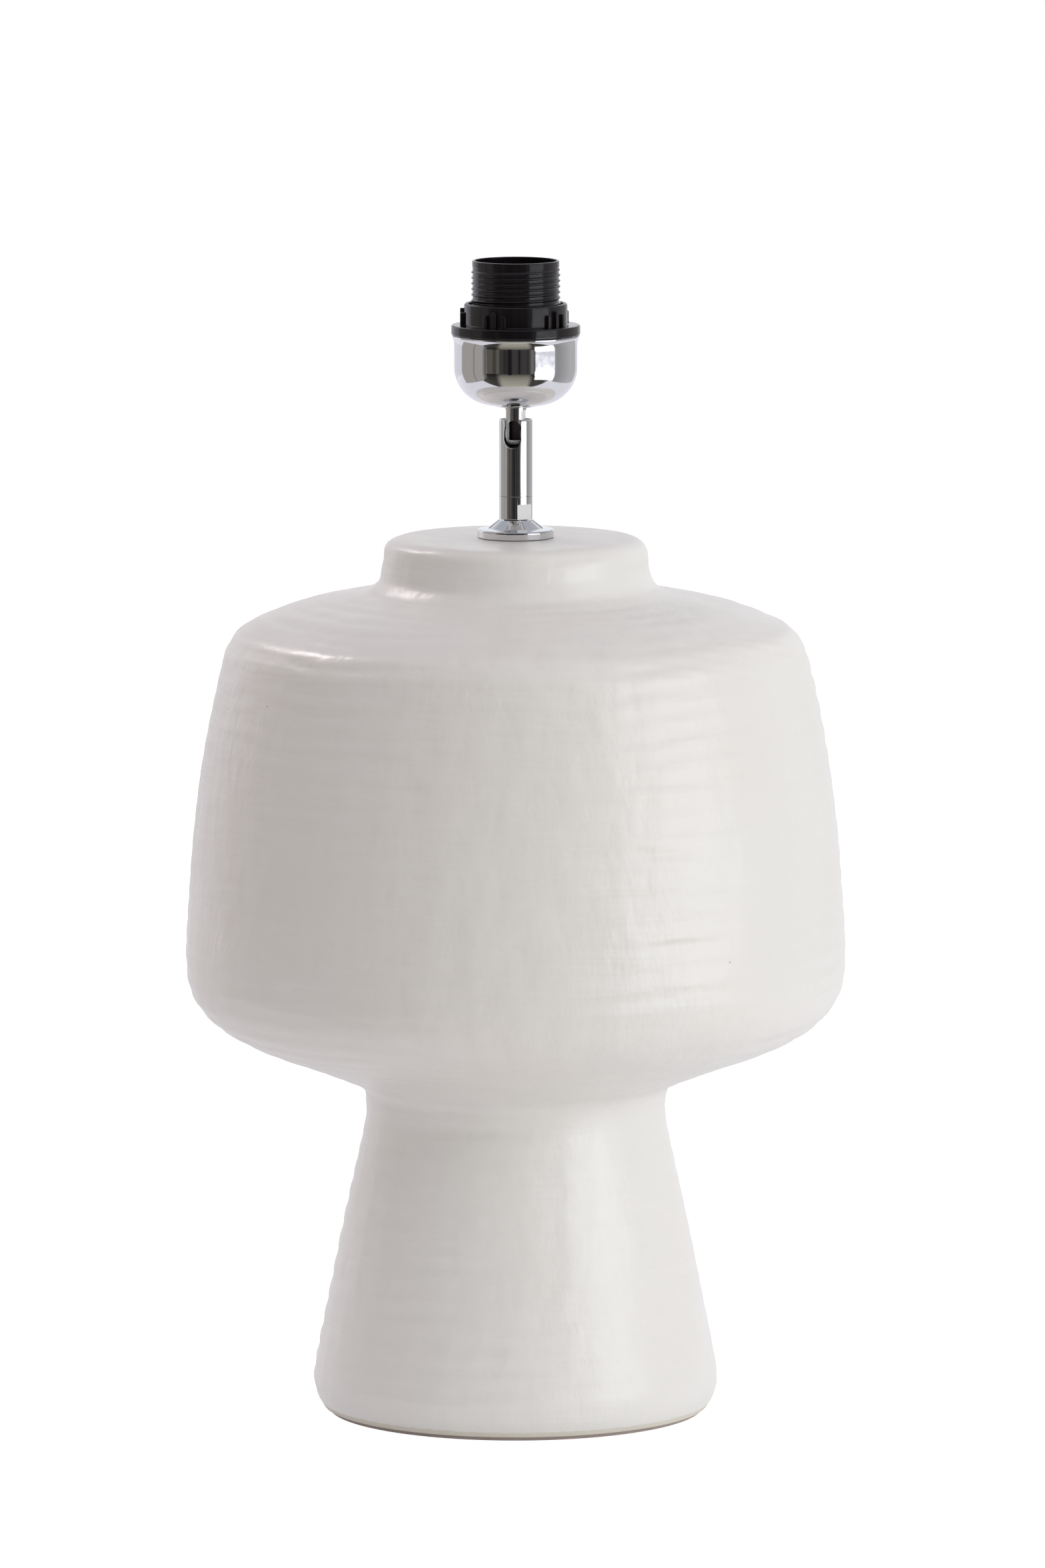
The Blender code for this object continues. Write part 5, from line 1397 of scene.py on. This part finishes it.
# Each light: its turn from the front, distance, height, aim height, width, height and power
SOFT_LIGHTS = {
    "softbox": (57, 1.60, 0.62, 0.62, 1.18, 1.00, 6.6),
    "rim_light": (-126, 1.48, 1.63, 0.43, 0.30, 0.40, 1.66),
    "edge_light": (-120, 2.0, 0.45, 0.30, 0.5, 0.9, 2.35),
    "side_light": (108, 2.0, 0.70, 0.25, 1.2, 1.4, 2.9),
    "right_fill": (80, 2.1, 0.60, 0.25, 1.4, 1.4, 3.85),
    "low_fill": (20, 1.8, 0.12, 0.25, 1.8, 0.25, 3.95),
    "high_fill": (10, 2.0, 1.90, 0.30, 1.6, 1.0, 4.3),
    "back_right": (140, 2.0, 0.90, 0.30, 1.2, 1.2, 8.25),
    "back_left": (-145, 2.0, 0.70, 0.30, 1.0, 1.2, 10.1),
    "back_wall": (180, 2.5, 1.00, 0.30, 3.2, 2.0, 5.8),
    "top_light": (-90, 0.2, 2.40, 0.0, 1.8, 1.8, 9.4)}
# What glazes and mirrors see of two of them
SEEN_LIGHTS = {"softbox": 11.0, "rim_light": 14.0}
SOFTBOX_TINT = (1.0, 1.04, 1.045)
LEFT_TINT = (1.0, 0.93, 0.95)
RIGHT_TINT = (1.0, 1.03, 1.03)
# Glow of the softbox's cloth: at its rim, and what its middle has more
CLOTH_RIM = 0.12
CLOTH_SWELL = 1.76


def make_lights():
    for name, (turn, distance, height, aim, wide, tall, power) in SOFT_LIGHTS.items():
        place = around_lamp(radians(turn), distance, height)
        tint = SOFTBOX_TINT if name == "softbox" else LEFT_TINT if turn < 0 else RIGHT_TINT
        shape = (place, (0, 0, aim), wide, tall)
        light = make_light(name, *shape, power, tint)
        light.visible_glossy = False
        if name in SEEN_LIGHTS:
            seen = make_light(name + "_seen", *shape, SEEN_LIGHTS[name], tint)
            seen.visible_diffuse = False
            if name == "softbox":
                hot_middle(seen.data)


# World, floor, and the table that the lamp stands on
AMBIENT = 0.403
AMBIENT_TINT = (1.0, 0.94, 0.94)
GLOSS_TINT = (0.93, 0.945, 1.0)
CEILING = (0.46, 0.48, 0.53)
CEILING_BAND = (0.35, 0.75)  # upward part of the way, where the ceiling sets in
PLAIN_WHITE = (1.0, 1.0, 1.0)
FLOOR_GLOW = 0.86
FLOOR_GLOSS = 0.70
MIRRORED_PAPER = (0.15, 0.15, 0.16)
MIRRORED_TINT = (0.98, 0.97, 1.06)
FLOOR_BOUNCE = 0.043
FLOOR_HALF = 6.0
FLOOR_LEVEL = -0.0001        # just clear of the pad's lower face
TABLE_SIDE = 0.83
TABLE_FRONT = 0.33
PAPER = (0.90, 0.90, 0.90)
GROUND = (0.62, 0.59, 0.54)


def seen_share(tree):
    """One for what the camera, a mirror or a glass sees, and nought for light that spreads."""
    path = add(tree, "ShaderNodeLightPath").outputs
    seen = number(tree, "MAXIMUM", path["Is Camera Ray"], path["Is Glossy Ray"])
    return number(tree, "MAXIMUM", seen, path["Is Transmission Ray"])


def make_world():
    world = bpy.data.worlds.new("studio")
    world.use_nodes = True
    tree = world.node_tree
    background = tree.nodes["Background"]
    path = add(tree, "ShaderNodeLightPath").outputs
    way = add(tree, "ShaderNodeTexCoord").outputs["Generated"]
    up = separated(tree, way)[2]
    overhead = mixed(tree, ramp(tree, up, *CEILING_BAND), GLOSS_TINT, CEILING)
    spread = mixed(tree, path["Is Glossy Ray"], AMBIENT_TINT, overhead)
    direct = number(tree, "MAXIMUM", path["Is Camera Ray"], path["Is Transmission Ray"])
    tree.links.new(mixed(tree, direct, spread, PLAIN_WHITE), background.inputs["Color"])
    strength = ramp(tree, seen_share(tree), 0.0, 1.0, AMBIENT, 1.0, smooth=False)
    tree.links.new(strength, background.inputs["Strength"])
    bpy.context.scene.world = world


def make_floor():
    bm = bmesh.new()
    bm.faces.new([bm.verts.new((x * FLOOR_HALF, y * FLOOR_HALF, FLOOR_LEVEL))
                  for x, y in ((-1, -1), (1, -1), (1, 1), (-1, 1))])
    material, tree, shader = finish("pale_floor", PAPER, 0.9)
    parts = separated(tree, object_place(tree))
    wide = number(tree, "LESS_THAN", number(tree, "ABSOLUTE", parts[0]), TABLE_SIDE)
    deep = number(tree, "GREATER_THAN", parts[1], -TABLE_FRONT)
    seen = seen_share(tree)
    paper = number(tree, "MAXIMUM", seen, product(tree, wide, deep))
    gloss = add(tree, "ShaderNodeLightPath").outputs["Is Glossy Ray"]
    lit = mixed(tree, paper, GROUND, PAPER)
    bounce = product(tree, paper, FLOOR_BOUNCE)
    glow = ramp(tree, seen, 0.0, 1.0, bounce, FLOOR_GLOW, smooth=False)
    feed(tree, shader, Base_Color=mixed(tree, gloss, lit, MIRRORED_PAPER),
         Emission_Color=mixed(tree, gloss, PLAIN_WHITE, MIRRORED_TINT),
         Emission_Strength=ramp(tree, gloss, 0.0, 1.0, glow, FLOOR_GLOSS, smooth=False))
    beneath = add(tree, "ShaderNodeNewGeometry").outputs["Backfacing"]
    clear = add(tree, "ShaderNodeBsdfTransparent").outputs[0]
    sheet = add(tree, "ShaderNodeMixShader", {0: beneath, 1: shader.outputs[0], 2: clear})
    tree.links.new(sheet.outputs[0], tree.nodes["Material Output"].inputs["Surface"])
    from_bmesh("floor", bm, material)


def card_material(name, stops, far_share):
    """A card that glows by its turn around the lamp, as the room beside the set does."""
    material = bpy.data.materials.new(name)
    material.use_nodes = True
    material.cycles.emission_sampling = "NONE"
    tree = material.node_tree
    tree.nodes.clear()
    parts = separated(tree, object_place(tree))
    turn = number(tree, "ARCTAN2", parts[0], product(tree, parts[1], -1.0))
    share = number(tree, "MULTIPLY_ADD", turn, 1 / FULL_TURN, 0.5)
    colours = add(tree, "ShaderNodeValToRGB", {0: share})
    band = colours.color_ramp
    band.interpolation = "LINEAR"
    while len(band.elements) > 1:
        band.elements.remove(band.elements[-1])
    for i, (degrees, colour) in enumerate(stops):
        spot = degrees / 360 + 0.5
        element = band.elements[0] if i == 0 else band.elements.new(spot)
        element.position = spot
        element.color = (*colour, 1.0)
    strength = ramp(tree, parts[2], 0.0, ROOM_FOOT, 1.0, far_share, smooth=False)
    glow = add(tree, "ShaderNodeEmission", {"Color": colours.outputs[0], "Strength": strength})
    end = add(tree, "ShaderNodeOutputMaterial")
    tree.links.new(glow.outputs[0], end.inputs["Surface"])
    return material


ROOM_FOOT = 0.21
ROOM_TOP = 2.0
BOARD_TOP = 1.9
CARD_FOOT = 0.004            # just clear of the floor
CARD_STEP = 2                # degrees
LEAST_SHARE = 0.01
GROUND_FAR_SHARE = 0.14
PANEL = (0.41, 0.39, 0.37)
BOARD_NEAR = (0.335, 0.33, 0.34)
BOARD_FAR = (0.52, 0.51, 0.515)
SHADE = (0.22, 0.205, 0.205)
CURTAIN = (0.112, 0.106, 0.086)
SHELF = (0.065, 0.060, 0.052)
STRIPE = (0.122, 0.115, 0.100)
DARK = (0.053, 0.049, 0.050)
BROWN = (0.034, 0.027, 0.027)
LEG = (0.013, 0.013, 0.014)
GREY = (0.18, 0.175, 0.175)
BEIGE = (0.47, 0.445, 0.375)
SHADOW = (0.07, 0.065, 0.06)
WHITE = (2.9, 2.95, 3.0)
LEFT_STOPS = (
    (-120, PANEL), (-86, PANEL), (-85, SHADE), (-83.5, SHADE), (-82.5, PANEL), (-65, PANEL),
    (-61, GREY), (-56, CURTAIN))
ROOM_STOPS = (
    (-56, CURTAIN), (-47, CURTAIN), (-45, STRIPE), (-43, SHELF), (-38, SHELF), (-36, STRIPE),
    (-31, STRIPE), (-30, BROWN), (-29, DARK), (-24, DARK), (-22, BROWN), (-18, BROWN), (-16, DARK),
    (-14, LEG), (-8, LEG), (-6, DARK), (4, DARK), (5, LEG), (7, LEG), (10, DARK), (20, DARK),
    (22, BROWN), (25, DARK), (28, STRIPE), (29, GREY), (33, GREY), (34, STRIPE), (37, SHADOW))
RIGHT_STOPS = ((78, BOARD_NEAR), (86, BOARD_NEAR), (122, BOARD_FAR), (148, BOARD_FAR))
GROUND_STOPS = (
    (-69, CURTAIN), (-48, SHADOW), (-38, SHADOW), (-28, BEIGE), (24, BEIGE), (33, SHADOW),
    (58, SHADOW), (68, PANEL))
SOFTBOX_STOPS = ((37, WHITE), (77, WHITE))
LEG_STOPS = ((-14, LEG),)


def side_edge(turn):
    """Distance of the boards beside the table, which stand along its sides."""
    return TABLE_SIDE / max(abs(sin(turn)), LEAST_SHARE)


def table_edge(turn):
    return min(side_edge(turn), TABLE_FRONT / max(cos(turn), LEAST_SHARE))


def make_card(name, start, end, inner, outer, stops, far_share=1.0):
    """A strip around the lamp between two (distance, height) edges, seen in gloss alone."""
    steps = ceil((end - start) / CARD_STEP)
    bm = bmesh.new()
    edges = []
    for step in range(steps + 1):
        turn = radians(start + (end - start) * step / steps)
        edge = []
        for distance, height in (inner, outer):
            away = distance(turn) if callable(distance) else distance
            edge.append(bm.verts.new(around_lamp(turn, away, height)))
        edges.append(edge)
    for (a, b), (c, d) in zip(edges, edges[1:]):
        bm.faces.new((a, b, d, c))
    card = from_bmesh(name, bm, card_material(name, stops, far_share))
    card.visible_camera = False
    card.visible_diffuse = False
    card.visible_transmission = False
    card.visible_shadow = False


BOARD = ((side_edge, 0), (side_edge, BOARD_TOP))
WALL_FOOT = (ROOM_RADIUS, ROOM_FOOT)
TABLE_END = (table_edge, CARD_FOOT)
BACK_GAP = ((ROOM_RADIUS, 0.71), (ROOM_RADIUS, 1.02), LEG_STOPS)

# Each card: its first and last turn, its inner and outer edge, its stops, and what is left of
# its glow from the room's foot up
CARDS = (
    ("left_board", -120, -56, *BOARD, LEFT_STOPS),
    ("right_board", 78, 148, *BOARD, RIGHT_STOPS),
    ("room_wall", -56, 37, WALL_FOOT, (ROOM_RADIUS, ROOM_TOP), ROOM_STOPS),
    ("room_ground", -69, 37, TABLE_END, WALL_FOOT, GROUND_STOPS, GROUND_FAR_SHARE),
    ("light_stand", -14, -8, (1.30, 0.13), (1.30, 0.30), LEG_STOPS),
    ("stand_ground", 37, 68, TABLE_END, (0.95, CARD_FOOT), GROUND_STOPS),
    ("softbox_foot", 36, 77, (0.95, 0.01), (1.52, 0.32), SOFTBOX_STOPS),
    ("back_gap", -162, -154, *BACK_GAP),
    ("back_gap", 154, 162, *BACK_GAP))


def make_studio():
    make_world()
    make_floor()
    make_lights()
    for card in CARDS:
        make_card(*card)


# The whole lamp base

EFFECTS = {"soft_patches": patches_group(), "fine_grain": grain_group(),
           "tool_lines": tool_lines_group(), "rare_specks": specks_group()}
FINISHES = {make.__name__: make() for make in (
    white_glaze, brown_felt, grey_rubber, zinc_steel, chrome, brass, red_fibre,
    black_thermoplastic, ivory_ceramic)}
OUTLINE_TREE = turned_outline_tree()
TREES = {"turned_piece": turned_piece_tree(OUTLINE_TREE),
         "thrown_body": thrown_body_tree(OUTLINE_TREE), "grip_ribs": grip_ribs_tree()}

for part in frame["record"]["subparts"]:
    solid = frame["nodes"][part["node"]]
    solid.data.materials.clear()
    solid.data.materials.append(FINISHES[part["material_slot"]])

make_camera()
make_studio()
make_body(FINISHES["white_glaze"])
make_pad(FINISHES["brown_felt"])
make_grommet(FINISHES["grey_rubber"])
make_nipple(FINISHES["zinc_steel"])
make_canopy(FINISHES["chrome"])
make_swivel_foot(milled_chrome())
# The insides of the slot and of the bore take a colour darkened as painted shade
make_sleeve(plated_tube("chrome_with_bare_shaded_slot", BARREL_RADIUS - SLOT_PLATE, SLOT_BARE_AND_SHADED))
make_ball_stem(plated_tube("chrome_with_bare_shaded_bore", WINDOW_HALF + CUT_MARGIN, BORE_BARE_AND_SHADED))
make_cup(FINISHES["chrome"])
make_skirt(FINISHES["black_thermoplastic"])
make_ring(FINISHES["black_thermoplastic"])

bpy.context.scene.view_settings.view_transform = "Standard"
